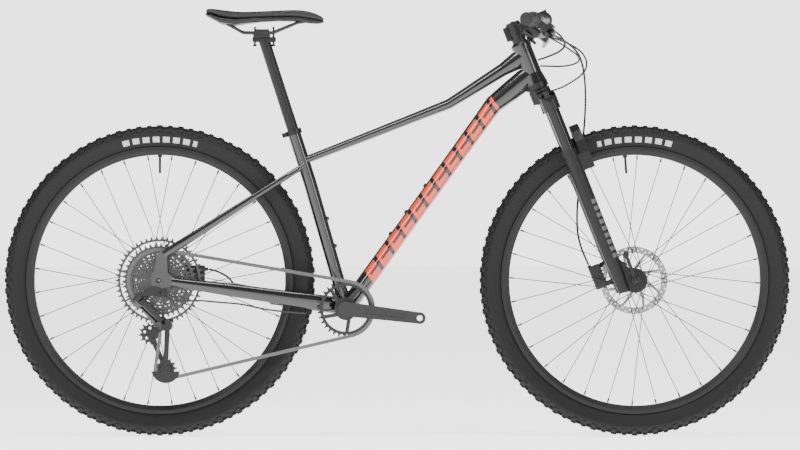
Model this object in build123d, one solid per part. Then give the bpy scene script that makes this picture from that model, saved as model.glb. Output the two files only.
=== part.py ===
from build123d import *
from math import acos, atan2, cos, degrees, hypot, pi, radians, sin, sqrt, tan
import os

# Hardtail mountain bike. Millimetres, +X forward, +Y to the rider's left, +Z up.
# The origin lies on the ground midway between the axles, in the centre plane.
os.makedirs("parts", exist_ok=True)

# ---- overall layout ----
WHEELBASE = 1123.0
TYRE_RADIUS = 368.0
TYRE_WIDTH = 56.0
CHAINSTAY_LENGTH = 445.7
BOTTOM_BRACKET_DROP = 66.5
HEAD_ANGLE = 68.5
FORK_OFFSET = 46.2
AXLE_TO_CROWN = 503.9

# ---- frame ----
SEAT_TUBE_ANGLE_LOWER = 74.0
SEAT_TUBE_ANGLE_UPPER = 72.13
SEAT_TUBE_BEND = 304.5
SEAT_TUBE_LENGTH = 441.0
SEAT_TUBE_RADIUS = 15.9
SEATPOST_RADIUS = 13.6
SEATPOST_CLEARANCE = 0.15
HEAD_TUBE_RADIUS = 23.0
HEAD_TUBE_LENGTH = 98.4
HEADSET_LOWER_HEIGHT = 14.7
TUBE_WALL = 2.0
SHELL_WIDTH = 73.0
SHELL_RADIUS = 21.5
SHELL_BORE = 17.3
REAR_HUB_WIDTH = 148.0
DROPOUT_THICKNESS = 6.0
BOLT_RADIUS = 2.5

# ---- seat ----
SEAT_RAIL_HEIGHT = 953.7
SEATPOST_INSERT = 110.0
SADDLE_LENGTH = 282.0
SADDLE_WIDTH = 144.0
RAIL_RADIUS = 3.5
RAIL_SPACING = 44.0

# ---- fork and cockpit ----
STEERER_RADIUS = 14.3
STANCHION_RADIUS = 15.0
LOWER_LEG_RADIUS = 18.0
LEG_SPACING = 130.0
LEG_AHEAD = 12.0
FORK_TRAVEL = 100.0
FRONT_HUB_WIDTH = 110.0
STEM_LENGTH = 70.0
STEM_HEIGHT = 38.0
BAR_WIDTH = 740.0
BAR_RADIUS = 11.1
BAR_CLAMP_RADIUS = 15.9
BAR_BACKSWEEP = 8.2
GRIP_LENGTH = 132.0
GRIP_RADIUS = 15.8
LEVER_PLACE = 205.0

# ---- wheels ----
RIM_RADIUS = 316.0
RIM_BED_RADIUS = 295.5
RIM_WIDTH = 31.0
SPOKE_COUNT = 32
SPOKE_RADIUS = 1.0
FRONT_ROTOR_RADIUS = 80.0
REAR_ROTOR_RADIUS = 80.0
ROTOR_THICKNESS = 1.8
AXLE_RADIUS = 6.0
FRONT_WHEEL_TURN = -4.4
REAR_WHEEL_TURN = 0.0

# ---- drivetrain ----
CHAIN_PITCH = 12.7
ROLLER_RADIUS = 3.85
CRANK_LENGTH = 175.0
CRANK_TURN = -7.0
CHAINRING_TEETH = 32
CHAINRING_PLANE = -52.0
CRANK_OUTER_FACE = -88.0
SPINDLE_RADIUS = 12.0
COG_TEETH = (50, 42, 36, 32, 28, 25, 22, 19, 17, 15, 13, 11)
COG_PITCH = 3.65
FIRST_COG_PLANE = -26.3
COG_IN_USE = 2
PULLEY_TEETH = 12
GUIDE_PULLEY = (-583.0, 241.6)
TENSION_PULLEY = (-543.2, 159.7)
CAGE_PIVOT = (-542.1, 262.7)

RUNNING_GAP = 0.3

# ---- places worked out from the sizes above ----
REAR_AXLE = Vector(-WHEELBASE / 2, 0, TYRE_RADIUS)
FRONT_AXLE = Vector(WHEELBASE / 2, 0, TYRE_RADIUS)
SHELL = Vector(
    -WHEELBASE / 2 + sqrt(CHAINSTAY_LENGTH**2 - BOTTOM_BRACKET_DROP**2),
    0,
    TYRE_RADIUS - BOTTOM_BRACKET_DROP,
)
STEER_UP = Vector(-cos(radians(HEAD_ANGLE)), 0, sin(radians(HEAD_ANGLE)))
STEER_FORWARD = Vector(sin(radians(HEAD_ANGLE)), 0, cos(radians(HEAD_ANGLE)))
CROWN_RACE = FRONT_AXLE + STEER_UP * AXLE_TO_CROWN - STEER_FORWARD * FORK_OFFSET
SEAT_UP_LOWER = Vector(-cos(radians(SEAT_TUBE_ANGLE_LOWER)), 0, sin(radians(SEAT_TUBE_ANGLE_LOWER)))
SEAT_UP = Vector(-cos(radians(SEAT_TUBE_ANGLE_UPPER)), 0, sin(radians(SEAT_TUBE_ANGLE_UPPER)))
SEAT_BEND = SHELL + SEAT_UP_LOWER * SEAT_TUBE_BEND
SEAT_TOP = SEAT_BEND + SEAT_UP * (SEAT_TUBE_LENGTH - SEAT_TUBE_BEND)
HEAD_BOTTOM = HEADSET_LOWER_HEIGHT
HEAD_TOP = HEADSET_LOWER_HEIGHT + HEAD_TUBE_LENGTH
STEM_BOTTOM = HEAD_TOP + 15.2
STEM_CENTRE = STEM_BOTTOM + STEM_HEIGHT / 2
LEG_Y = LEG_SPACING / 2
AXLE_S = -AXLE_TO_CROWN


def steer(along, ahead=0.0, side=0.0):
    """A point given along and ahead of the steering axis, from the crown race."""
    return CROWN_RACE + STEER_UP * along + STEER_FORWARD * ahead + Vector(0, side, 0)


# ---- plain solids ----
def rod(start, end, radius, bore=0.0):
    """A straight round bar or tube from one point to another."""
    axis = end - start
    solid = Solid.make_cylinder(radius, axis.length, Plane(start, z_dir=axis))
    if bore:
        over = axis.normalized()
        hole = Solid.make_cylinder(bore, axis.length + 2, Plane(start - over, z_dir=axis))
        solid = solid - hole
    return solid


def cone(start, end, radius_start, radius_end):
    """A straight round bar that tapers."""
    axis = end - start
    return Solid.make_cone(radius_start, radius_end, axis.length, Plane(start, z_dir=axis))


def disc(centre, radius, thickness, bore=0.0):
    """A flat disc that turns about a line across the bike."""
    half = Vector(0, thickness / 2, 0)
    return rod(centre - half, centre + half, radius, bore)


def slab(centre, size, x_dir=Vector(1, 0, 0), z_dir=Vector(0, 0, 1), fillet_radius=0.0):
    """A block with its centre at a point, its length along x_dir and its height along z_dir."""
    plane = Plane(centre, x_dir=x_dir, z_dir=z_dir)
    block = Box(*size)
    if fillet_radius:
        block = fillet(block.edges(), fillet_radius)
    return (plane * block).solid()


def plate(points, y_from, y_to):
    """A plate cut to an outline in the side view, from one side face to the other."""
    corners = [Vector(x, y_from, z) for x, z in points]
    face = Face(Wire.make_polygon(corners, close=True))
    return Solid.extrude(face, Vector(0, y_to - y_from, 0))


def oval(centre, along, half_width, half_depth):
    """An oval section across a tube: half_width is across the bike."""
    return Plane(centre, x_dir=(0, 1, 0), z_dir=along) * Ellipse(half_width, half_depth)


def oval_tube(stations, wall=0.0):
    """A tube through oval stations of centre, direction, half width and half depth."""
    outer = loft([oval(c, d, w, h) for c, d, w, h in stations], ruled=True)
    if not wall:
        return outer.solid()
    inner = loft([oval(c, d, w - wall, h - wall) for c, d, w, h in stations], ruled=True)
    return (outer - inner).solids()[0]


def swept(points, radius, bends, bore=0.0):
    """A round bar or tube bent along straight runs joined by tangent arcs."""
    path = FilletPolyline(*points, radius=bends)
    start = Plane(points[0], z_dir=points[1] - points[0])
    section = start * Circle(radius)
    solid = sweep(section, path=path)
    if bore:
        solid = solid - sweep(start * Circle(bore), path=path)
    return solid.solid()


def easy_bends(points):
    """The largest bend radii that a route's runs leave room for."""
    bends = []
    for before, here, after in zip(points, points[1:], points[2:]):
        turn = radians((here - before).get_angle(after - here))
        run = min((here - before).length, (after - here).length)
        bends.append(0.45 * run / tan(turn / 2))
    return bends


def cable(points, radius):
    """A cable or hose along a route of straight runs with the largest bends that fit."""
    route = [Vector(*p) for p in points]
    return swept(route, radius, easy_bends(route))


def mirrored(solid):
    return solid.mirror(Plane.XZ)


def solids_of(shape):
    return list(shape.solids())


def write(name, *shapes):
    """Save a node: each argument is a separate solid or a list of them."""
    pieces = []
    for shape in shapes:
        items = shape if isinstance(shape, (list, tuple)) else [shape]
        for item in items:
            pieces += solids_of(item)
    node = Compound(children=pieces) if len(pieces) > 1 else pieces[0]
    node.label = name
    export_step(node, os.path.join("parts", name + ".step"))
    print(name, len(pieces))


# ---- frame ----
def head_tube():
    bottom = steer(HEAD_BOTTOM)
    top = steer(HEAD_TOP)
    shell = rod(bottom, top, HEAD_TUBE_RADIUS)
    flare = cone(bottom, steer(HEAD_BOTTOM + 26), HEAD_TUBE_RADIUS + 4.5, HEAD_TUBE_RADIUS)
    lip = rod(steer(HEAD_TOP - 7), top, HEAD_TUBE_RADIUS + 1.5)
    bore = rod(steer(HEAD_BOTTOM - 1), steer(HEAD_TOP + 1), HEAD_TUBE_RADIUS - 4.5)
    return (shell + flare + lip) - bore


def head_tube_outer():
    body = rod(steer(HEAD_BOTTOM), steer(HEAD_TOP), HEAD_TUBE_RADIUS)
    flare = cone(steer(HEAD_BOTTOM), steer(HEAD_BOTTOM + 26), HEAD_TUBE_RADIUS + 4.5, HEAD_TUBE_RADIUS)
    return body + flare + rod(steer(HEAD_TOP - 7), steer(HEAD_TOP), HEAD_TUBE_RADIUS + 1.5)


def seat_tube_form(radius, foot, top):
    """A round bar that follows the seat tube's slight bend."""
    middle = (SEAT_UP_LOWER + SEAT_UP).normalized()
    return oval_tube([(foot, SEAT_UP_LOWER, radius, radius), (SEAT_BEND, middle, radius, radius), (top, SEAT_UP, radius, radius)])


def seat_tube_outer():
    return seat_tube_form(SEAT_TUBE_RADIUS, SHELL, SEAT_TOP)


def shell_outer():
    half = Vector(0, SHELL_WIDTH / 2, 0)
    return rod(SHELL - half, SHELL + half, SHELL_RADIUS)


def seat_tube():
    """The seat tube, bored for the post above and left thin walled below its bend."""
    bore = seat_tube_form(SEATPOST_RADIUS + SEATPOST_CLEARANCE, SHELL - SEAT_UP_LOWER, SEAT_TOP + SEAT_UP)
    return (seat_tube_outer() - bore - shell_outer()).solids().sort_by(SortBy.VOLUME)[-1]


TOP_TUBE_START = SEAT_TOP - SEAT_UP * 78
TOP_TUBE_BEND = steer(HEAD_TOP - 68, -208)
TOP_TUBE_END = steer(HEAD_TOP - 27)


def top_tube():
    """A tapering oval tube that bends down at its front third and deepens into the head tube."""
    run = (TOP_TUBE_BEND - TOP_TUBE_START).normalized()
    nose = (TOP_TUBE_END - TOP_TUBE_BEND).normalized()
    bend = (run + nose).normalized()
    length = (TOP_TUBE_BEND - TOP_TUBE_START).length
    reach = (TOP_TUBE_END - TOP_TUBE_BEND).length
    stations = [
        (TOP_TUBE_START, run, 14.0, 9.4),
        (TOP_TUBE_START + run * length * 0.35, run, 15.0, 10.0),
        (TOP_TUBE_START + run * length * 0.75, run, 17.5, 11.2),
        (TOP_TUBE_BEND - run * 36, run, 19.0, 12.0),
        (TOP_TUBE_BEND - run * 2, bend, 19.5, 12.6),
        (TOP_TUBE_BEND + nose * 36, nose, 20.0, 13.4),
        (TOP_TUBE_BEND + nose * (reach - 62), nose, 20.6, 16.0),
        (TOP_TUBE_END - nose * 24, nose, 21.2, 21.5),
        (TOP_TUBE_END, nose, 21.5, 22.5),
    ]
    tube = oval_tube(stations, TUBE_WALL)
    return solids_of(tube - seat_tube_outer() - head_tube_outer())[0]


DOWN_TUBE_END = steer(HEAD_BOTTOM + 25)
DOWN_TUBE_BEND = steer(HEAD_BOTTOM - 9, -112)


def down_tube():
    """The large oval tube from the bottom bracket, bent and flared at the head tube."""
    rise = (DOWN_TUBE_BEND - SHELL).normalized()
    nose = (DOWN_TUBE_END - DOWN_TUBE_BEND).normalized()
    bend = (rise + nose).normalized()
    length = (DOWN_TUBE_BEND - SHELL).length
    reach = (DOWN_TUBE_END - DOWN_TUBE_BEND).length
    stations = [
        (SHELL + rise * 4, rise, 27.0, 20.5),
        (SHELL + rise * 70, rise, 26.0, 20.0),
        (SHELL + rise * length * 0.45, rise, 24.5, 19.2),
        (SHELL + rise * length * 0.8, rise, 24.0, 20.0),
        (DOWN_TUBE_BEND - rise * 36, rise, 23.6, 20.6),
        (DOWN_TUBE_BEND, bend, 23.2, 21.8),
        (DOWN_TUBE_BEND + nose * reach * 0.42, nose, 22.8, 24.5),
        (DOWN_TUBE_END - nose * 26, nose, 22.2, 26.0),
        (DOWN_TUBE_END, nose, 21.8, 25.0),
    ]
    tube = oval_tube(stations, TUBE_WALL)
    cup_room = rod(steer(-60), steer(HEAD_BOTTOM), HEAD_TUBE_RADIUS + 5.5)
    trimmed = tube - shell_outer() - seat_tube_outer() - head_tube_outer() - top_tube_solid - cup_room
    return trimmed.solids().sort_by(SortBy.VOLUME)[-1]


def bottom_bracket_shell():
    half = Vector(0, SHELL_WIDTH / 2, 0)
    return rod(SHELL - half, SHELL + half, SHELL_RADIUS, SHELL_BORE)


def stay(stations, side):
    """A ruled oval tube through places of x, y, z, half width and half depth, on one side."""
    places = [Vector(x, side * y, z) for x, y, z, _, _ in stations]
    ends = []
    for i, place in enumerate(places):
        before = places[max(i - 1, 0)]
        after = places[min(i + 1, len(places) - 1)]
        along = (after - before).normalized()
        ends.append((place, along, stations[i][3], stations[i][4]))
    across = Vector(0, 1, 0)
    sections = []
    for place, along, half_width, half_depth in ends:
        flat = across - along * across.dot(along)
        sections.append(Plane(place, x_dir=flat, z_dir=along) * Ellipse(half_width, half_depth))
    return loft(sections, ruled=True).solid()


DROPOUT_INNER = REAR_HUB_WIDTH / 2
DROPOUT_MIDDLE = DROPOUT_INNER + DROPOUT_THICKNESS / 2
HANGER_BOLT = Vector(REAR_AXLE.X + 5.5, 0, REAR_AXLE.Z - 28.0)
STAY_END = Vector(REAR_AXLE.X + 30, DROPOUT_MIDDLE, REAR_AXLE.Z - 3)


def chainstay(side):
    run = STAY_END.X - SHELL.X
    drop = STAY_END.Z - SHELL.Z - 5

    def station(share, y, half_width, half_depth):
        return (SHELL.X + run * share, y, SHELL.Z + 5 + drop * share, half_width, half_depth)

    stations = [
        station(0.03, 25, 9.0, 19.0),
        station(0.10, 36, 7.5, 18.5),
        station(0.18, 41, 6.5, 18.0),
        station(0.29, 45.5, 7.5, 17.0),
        station(0.44, 51.5, 8.0, 15.8),
        station(0.68, 62.5, 8.0, 14.5),
        station(0.87, DROPOUT_MIDDLE - 4.5, 7.8, 11.5),
        station(1.0, DROPOUT_MIDDLE, 7.5, 10.3),
    ]
    solid = stay(stations, side)
    half = Vector(0, SHELL_WIDTH / 2 + 8, 0)
    cup_room = rod(SHELL - half, SHELL + half, SHELL_RADIUS + 0.5)
    return (solid - cup_room - dropout(side) - seat_tube_outer()).solids().sort_by(SortBy.VOLUME)[-1]


SEATSTAY_TOP = SEAT_TOP - SEAT_UP * 88
SEATSTAY_FOOT = Vector(REAR_AXLE.X + 12, DROPOUT_MIDDLE, REAR_AXLE.Z + 62)


def seatstay(side):
    run = SEATSTAY_FOOT.X - SEATSTAY_TOP.X
    drop = SEATSTAY_FOOT.Z - SEATSTAY_TOP.Z

    def station(share, y, half_width, half_depth):
        return (SEATSTAY_TOP.X + run * share, y, SEATSTAY_TOP.Z + drop * share, half_width, half_depth)

    stations = [
        station(0.0, 11, 6.0, 6.5),
        station(0.05, 19, 6.0, 6.5),
        station(0.12, 36, 6.0, 6.7),
        station(0.30, 46, 6.2, 7.5),
        station(0.60, 60, 6.5, 8.4),
        station(0.88, DROPOUT_MIDDLE - 2.5, 6.6, 9.2),
        station(1.0, DROPOUT_MIDDLE, 6.6, 9.2),
    ]
    solid = stay(stations, side)
    return (solid - dropout(side) - seat_tube_outer()).solids().sort_by(SortBy.VOLUME)[-1]


def dropout(side):
    """The plate that joins the stays and holds the axle; the right one carries the hanger."""
    x, z = REAR_AXLE.X, REAR_AXLE.Z
    outline = [
        (x - 15, z - 12),
        (x + 12, z - 18),
        (x + 38, z - 10),
        (x + 38, z + 6),
        (x + 22, z + 18),
        (x + 20, z + 58),
        (x + 26, z + 66),
        (x + 12, z + 76),
        (x - 4, z + 62),
        (x - 10, z + 24),
        (x - 18, z + 10),
    ]
    inner = side * DROPOUT_INNER
    outer = side * (DROPOUT_INNER + DROPOUT_THICKNESS)
    solid = plate(outline, min(inner, outer), max(inner, outer))
    middle = Vector(0, side * DROPOUT_MIDDLE, 0)
    if side < 0:
        tab = [(x - 8, z - 10), (x + 14, z - 12), (HANGER_BOLT.X + 9, HANGER_BOLT.Z), (HANGER_BOLT.X - 9, HANGER_BOLT.Z)]
        solid = solid + plate(tab, -DROPOUT_INNER - DROPOUT_THICKNESS, -DROPOUT_INNER)
        solid = solid + disc(HANGER_BOLT + middle, 9.0, DROPOUT_THICKNESS)
        solid = solid - disc(HANGER_BOLT + middle, 5.0, DROPOUT_THICKNESS + 2)
    solid = solid - disc(REAR_AXLE + middle, AXLE_RADIUS, DROPOUT_THICKNESS + 2)
    return solid.solids()[0]


def seat_collar():
    """A split ring clamped on the top of the seat tube by a bolt behind it."""
    low = SEAT_TOP - SEAT_UP * 12
    ring = rod(low, SEAT_TOP, SEAT_TUBE_RADIUS + 3.5) - rod(low - SEAT_UP, SEAT_TOP + SEAT_UP, SEAT_TUBE_RADIUS)
    back = Vector(-SEAT_UP.Z, 0, SEAT_UP.X)
    ear_centre = SEAT_TOP - SEAT_UP * 6 + back * (SEAT_TUBE_RADIUS + 7)
    ears = slab(ear_centre, (12, 17, 11), x_dir=back, z_dir=SEAT_UP)
    ears = ears - rod(low - SEAT_UP, SEAT_TOP + SEAT_UP, SEAT_TUBE_RADIUS + 1)
    slit = slab(ear_centre - back * 3, (24, 2, 16), x_dir=back, z_dir=SEAT_UP)
    bolt_line = ear_centre + back * 1.5
    across = Vector(0, 1, 0)
    hole = rod(bolt_line - across * 10, bolt_line + across * 10, BOLT_RADIUS)
    collar = (ring + ears - slit - hole).solids()[0]
    bolt = rod(bolt_line - across * 8.5, bolt_line + across * 8.5, BOLT_RADIUS)
    head = rod(bolt_line + across * 8.5, bolt_line + across * 12.5, 4.2)
    return [collar, bolt + head]


# ---- seatpost and saddle ----
RAIL_ALONG = (SEAT_RAIL_HEIGHT - SEAT_TOP.Z) / SEAT_UP.Z
RAIL_CENTRE = SEAT_TOP + SEAT_UP * RAIL_ALONG
POST_HEAD = RAIL_CENTRE - SEAT_UP * 19


def seatpost():
    """The post with its two-bolt head; the rails lie between the head's cradle and a cap."""
    foot = SEAT_TOP - SEAT_UP * SEATPOST_INSERT
    post = rod(foot, POST_HEAD, SEATPOST_RADIUS) - rod(foot - SEAT_UP, POST_HEAD - SEAT_UP * 14, SEATPOST_RADIUS - 2.2)
    head = slab(POST_HEAD + Vector(0, 0, 2), (56, 24, 12), fillet_radius=3)
    cradle = slab(RAIL_CENTRE - Vector(0, 0, 6.2), (40, 52, 11), fillet_radius=2)
    rails = [rod(p - Vector(40, 0, 0), p + Vector(40, 0, 0), RAIL_RADIUS) for p in rail_middles()]
    body = post + head
    cradle = cradle - body
    cap = slab(RAIL_CENTRE + Vector(0, 0, 4.6), (36, 52, 7), fillet_radius=2)
    for rail in rails:
        cradle = cradle - rail
        cap = cap - rail
    bolts = []
    for ahead in (-22, 22):
        foot = POST_HEAD + Vector(ahead, 0, -9)
        top = foot + Vector(0, 0, 42)
        bolt = rod(foot, top, BOLT_RADIUS) + rod(foot - Vector(0, 0, 5), foot, 4.6)
        body = body - rod(foot, top, BOLT_RADIUS)
        cradle = cradle - rod(foot, top, BOLT_RADIUS)
        cap = cap - rod(foot, top, BOLT_RADIUS)
        bolts.append(bolt)
    return [solids_of(body)[0], solids_of(cradle)[0], solids_of(cap)[0]] + bolts


def rail_middles():
    half = Vector(0, RAIL_SPACING / 2, 0)
    return [RAIL_CENTRE - half, RAIL_CENTRE + half]


SADDLE_FRONT = RAIL_CENTRE.X + 148.8
SADDLE_TOP = SEAT_RAIL_HEIGHT + 52


def saddle_stations():
    """Distance back from the nose, half width, top height and bottom height above the rails."""
    return [
        (2, 11, 34, 24),
        (16, 17, 44, 21),
        (37, 19, 51.5, 22),
        (62, 20, 54.5, 27),
        (108, 23, 53, 27.5),
        (150, 31, 51, 25.5),
        (182, 45, 49.5, 22),
        (212, 60, 50, 17.5),
        (246, 71, 54, 22),
        (266, 71, 56.5, 33),
        (SADDLE_LENGTH - 2, 60, 50, 40),
    ]


def saddle_layer(bottom_share, top_share, inset, gap):
    sections = []
    for back, half_width, top, bottom in saddle_stations():
        low = SEAT_RAIL_HEIGHT + bottom + (top - bottom) * bottom_share + gap
        high = SEAT_RAIL_HEIGHT + bottom + (top - bottom) * top_share
        centre = Vector(SADDLE_FRONT - back, 0, (low + high) / 2)
        plane = Plane(centre, x_dir=(0, 1, 0), z_dir=(1, 0, 0))
        height = high - low
        sections.append(plane * RectangleRounded(2 * (half_width - inset), height, 0.44 * height))
    return loft(sections, ruled=True).solid()


def saddle_rails():
    x, z = RAIL_CENTRE.X, SEAT_RAIL_HEIGHT
    half = RAIL_SPACING / 2
    rails = []
    for side in (-1, 1):
        route = [
            Vector(x - 88, side * 36, z + 24.5),
            Vector(x - 70, side * (half + 6), z + 15),
            Vector(x - 44, side * half, z),
            Vector(x + 26, side * half, z),
            Vector(x + 84, side * (half - 11), z + 24),
            Vector(x + 104, side * 8, z + 27),
        ]
        rails.append(swept(route, RAIL_RADIUS, [12, 24, 30, 14]))
    return rails


# ---- headset, fork and stem ----
HEAD_BORE = HEAD_TUBE_RADIUS - 4.5
LEG_AXIS = LEG_AHEAD


def headset_cups():
    """The lower cup under the head tube and the two bearings inside it."""
    bearing_bore = STEERER_RADIUS + RUNNING_GAP
    cup = rod(steer(2.2), steer(HEAD_BOTTOM), HEAD_TUBE_RADIUS + 4.5, STEERER_RADIUS + 3.5)
    lower = rod(steer(HEAD_BOTTOM), steer(HEAD_BOTTOM + 8), HEAD_BORE, bearing_bore)
    upper = rod(steer(HEAD_TOP - 8), steer(HEAD_TOP), HEAD_BORE, bearing_bore)
    return [cup, lower, upper]


def headset_spacers():
    """The dust cover, one spacer, the top cap and its bolt."""
    cover = cone(steer(HEAD_TOP + RUNNING_GAP), steer(HEAD_TOP + 7), HEAD_TUBE_RADIUS + 1.5, 18.5)
    cover = cover - rod(steer(HEAD_TOP - 1), steer(HEAD_TOP + 8), STEERER_RADIUS)
    spacer = rod(steer(HEAD_TOP + 7), steer(STEM_BOTTOM), 17.0, STEERER_RADIUS)
    top = STEM_BOTTOM + STEM_HEIGHT
    cap = rod(steer(top), steer(top + 4), 17.0) - rod(steer(top - 1), steer(top + 5), 3.0)
    bolt = rod(steer(top - 22), steer(top + 4), 3.0) + rod(steer(top + 4), steer(top + 6), 5.0)
    return [solids_of(cover)[0], spacer, solids_of(cap)[0], bolt]


def across_fork(points, ahead_from, ahead_to):
    """A plate with a mirrored outline across the fork, given as side and along the steering axis."""
    outline = points + [(-y, s) for y, s in reversed(points) if y]
    plane = Plane(steer(0, ahead_from), x_dir=(0, 1, 0), z_dir=STEER_FORWARD)
    face = plane * make_face(Polyline(*outline, close=True))
    return extrude(face, ahead_to - ahead_from).solid()


def fork_crown():
    """The forged crown with the steerer pressed into it."""
    outline = [
        (0, 0),
        (24, 0),
        (31, -6),
        (LEG_Y - 4, -20),
        (LEG_Y + 16, -28),
        (LEG_Y + 20, -38),
        (LEG_Y + 20, -59),
        (LEG_Y - 20, -59),
        (LEG_Y - 24, -52),
        (34, -39),
        (20, -32.5),
        (0, -31),
    ]
    blank = across_fork(outline, -24, 36)
    form = rod(steer(-70), steer(5), 27)
    form = form + slab(steer(-30, 8), (34, 2 * LEG_Y, 80), x_dir=STEER_FORWARD, z_dir=STEER_UP)
    for side in (-1, 1):
        form = form + rod(steer(-70, LEG_AXIS, side * LEG_Y), steer(5, LEG_AXIS, side * LEG_Y), 20)
    crown = blank & form
    for side in (-1, 1):
        leg_low = steer(-70, LEG_AXIS, side * LEG_Y)
        crown = crown - rod(leg_low, steer(5, LEG_AXIS, side * LEG_Y), STANCHION_RADIUS)
    crown = crown - rod(steer(-26), steer(5), STEERER_RADIUS)
    steerer = rod(steer(-26), steer(STEM_BOTTOM + STEM_HEIGHT), STEERER_RADIUS, STEERER_RADIUS - 2.2)
    race = rod(steer(0), steer(1.9), HEAD_TUBE_RADIUS, STEERER_RADIUS)
    return [solids_of(crown)[0], steerer, race]


def stanchions():
    pieces = []
    for side in (-1, 1):
        def leg(s):
            return steer(s, LEG_AXIS, side * LEG_Y)

        pieces.append(rod(leg(-330), leg(-31), STANCHION_RADIUS, STANCHION_RADIUS - 2))
        pieces.append(rod(leg(-31), leg(-24), STANCHION_RADIUS - 1.5) + rod(leg(-24), leg(-12), 8.0))
    return pieces


SEAL_TOP = -160.0
LEG_FOOT = -519.3


def fork_lowers():
    """The cast lower legs with their arch, axle lugs and wiper seals."""
    bore = STANCHION_RADIUS + 0.4
    casting = None
    seals = []
    for side in (-1, 1):
        def leg(s, ahead=LEG_AXIS, y=LEG_Y):
            return steer(s, ahead, side * y)

        outer = rod(leg(-430), leg(SEAL_TOP - 9), LOWER_LEG_RADIUS)
        foot = cone(leg(-430), leg(LEG_FOOT), LOWER_LEG_RADIUS, LOWER_LEG_RADIUS - 3.5)
        outline = [(28, -440), (42, -470), (57, -480), (65, -496), (63, -514), (48, -523), (26, -522), (2, -519), (2, -470)]
        lug = [(p.X, p.Z) for p in (steer(s, n) for n, s in outline)]
        inner = side * FRONT_HUB_WIDTH / 2
        face = side * (LEG_Y + 6)
        body = outer + foot + plate(lug, min(inner, face), max(inner, face))
        pad = slab(leg(-198, 27), (20, 22, 40), x_dir=STEER_FORWARD, z_dir=STEER_UP)
        body = body + pad
        casting = body if casting is None else casting + body
        seals.append(rod(leg(SEAL_TOP - 9), leg(SEAL_TOP), LOWER_LEG_RADIUS + 0.8, STANCHION_RADIUS + RUNNING_GAP))
    arch = [
        (0, -108),
        (24, -111),
        (44, -124),
        (LEG_Y - 1, -148),
        (LEG_Y + 11, -178),
        (LEG_Y + 11, -218),
        (LEG_Y - 11, -218),
        (LEG_Y - 13, -180),
        (40, -150),
        (24, -132),
        (0, -126),
    ]
    bridge = across_fork(arch, 34.5, 56)
    window = [(0, -113), (24, -117), (42, -130), (LEG_Y - 1, -160), (LEG_Y - 1, -185), (42, -146), (24, -126), (0, -121)]
    bridge = bridge - across_fork(window, 50, 60)
    casting = casting + bridge
    for side in (-1, 1):
        leg_top = steer(SEAL_TOP + 5, LEG_AXIS, side * LEG_Y)
        casting = casting - rod(steer(-440, LEG_AXIS, side * LEG_Y), leg_top, bore)
        axle_line = steer(AXLE_S, FORK_OFFSET)
        casting = casting - disc(axle_line + Vector(0, side * (LEG_Y - 2), 0), AXLE_RADIUS, 30)
    for s in (-442, -488):
        post = slab(steer(s, -7, LEG_Y - 10), (16, 10, 12), x_dir=STEER_FORWARD, z_dir=STEER_UP)
        hollow = rod(steer(-440, LEG_AXIS, LEG_Y), steer(SEAL_TOP, LEG_AXIS, LEG_Y), bore)
        casting = casting + (post - hollow)
    return [solids_of(casting)[0]] + seals


CALIPER_Y = 40.5


def front_caliper():
    """A two-piston caliper that straddles the rotor, with pads, bolts and a hose fitting."""
    turn = dict(x_dir=STEER_FORWARD, z_dir=STEER_UP)
    body = slab(steer(-465, -30, CALIPER_Y + 5), (29, 28, 58), fillet_radius=4, **turn)
    slot = slab(steer(-465, -22, CALIPER_Y), (40, 7, 70), **turn)
    axle = steer(AXLE_S, FORK_OFFSET)
    clear = disc(axle + Vector(0, CALIPER_Y, 0), FRONT_ROTOR_RADIUS + 3, 7)
    body = (body - slot - clear).solids()[0]
    pads = []
    for side in (-1, 1):
        pads.append(slab(steer(-465, -28, CALIPER_Y + side * 2.2), (15, 2.2, 24), **turn))
    banjo = rod(steer(-438, -40, CALIPER_Y + 10), steer(-432, -40, CALIPER_Y + 10), 4.5)
    return [body] + pads + [banjo - body]


def bar_clamp_centre():
    return steer(STEM_CENTRE, STEM_LENGTH)


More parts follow.
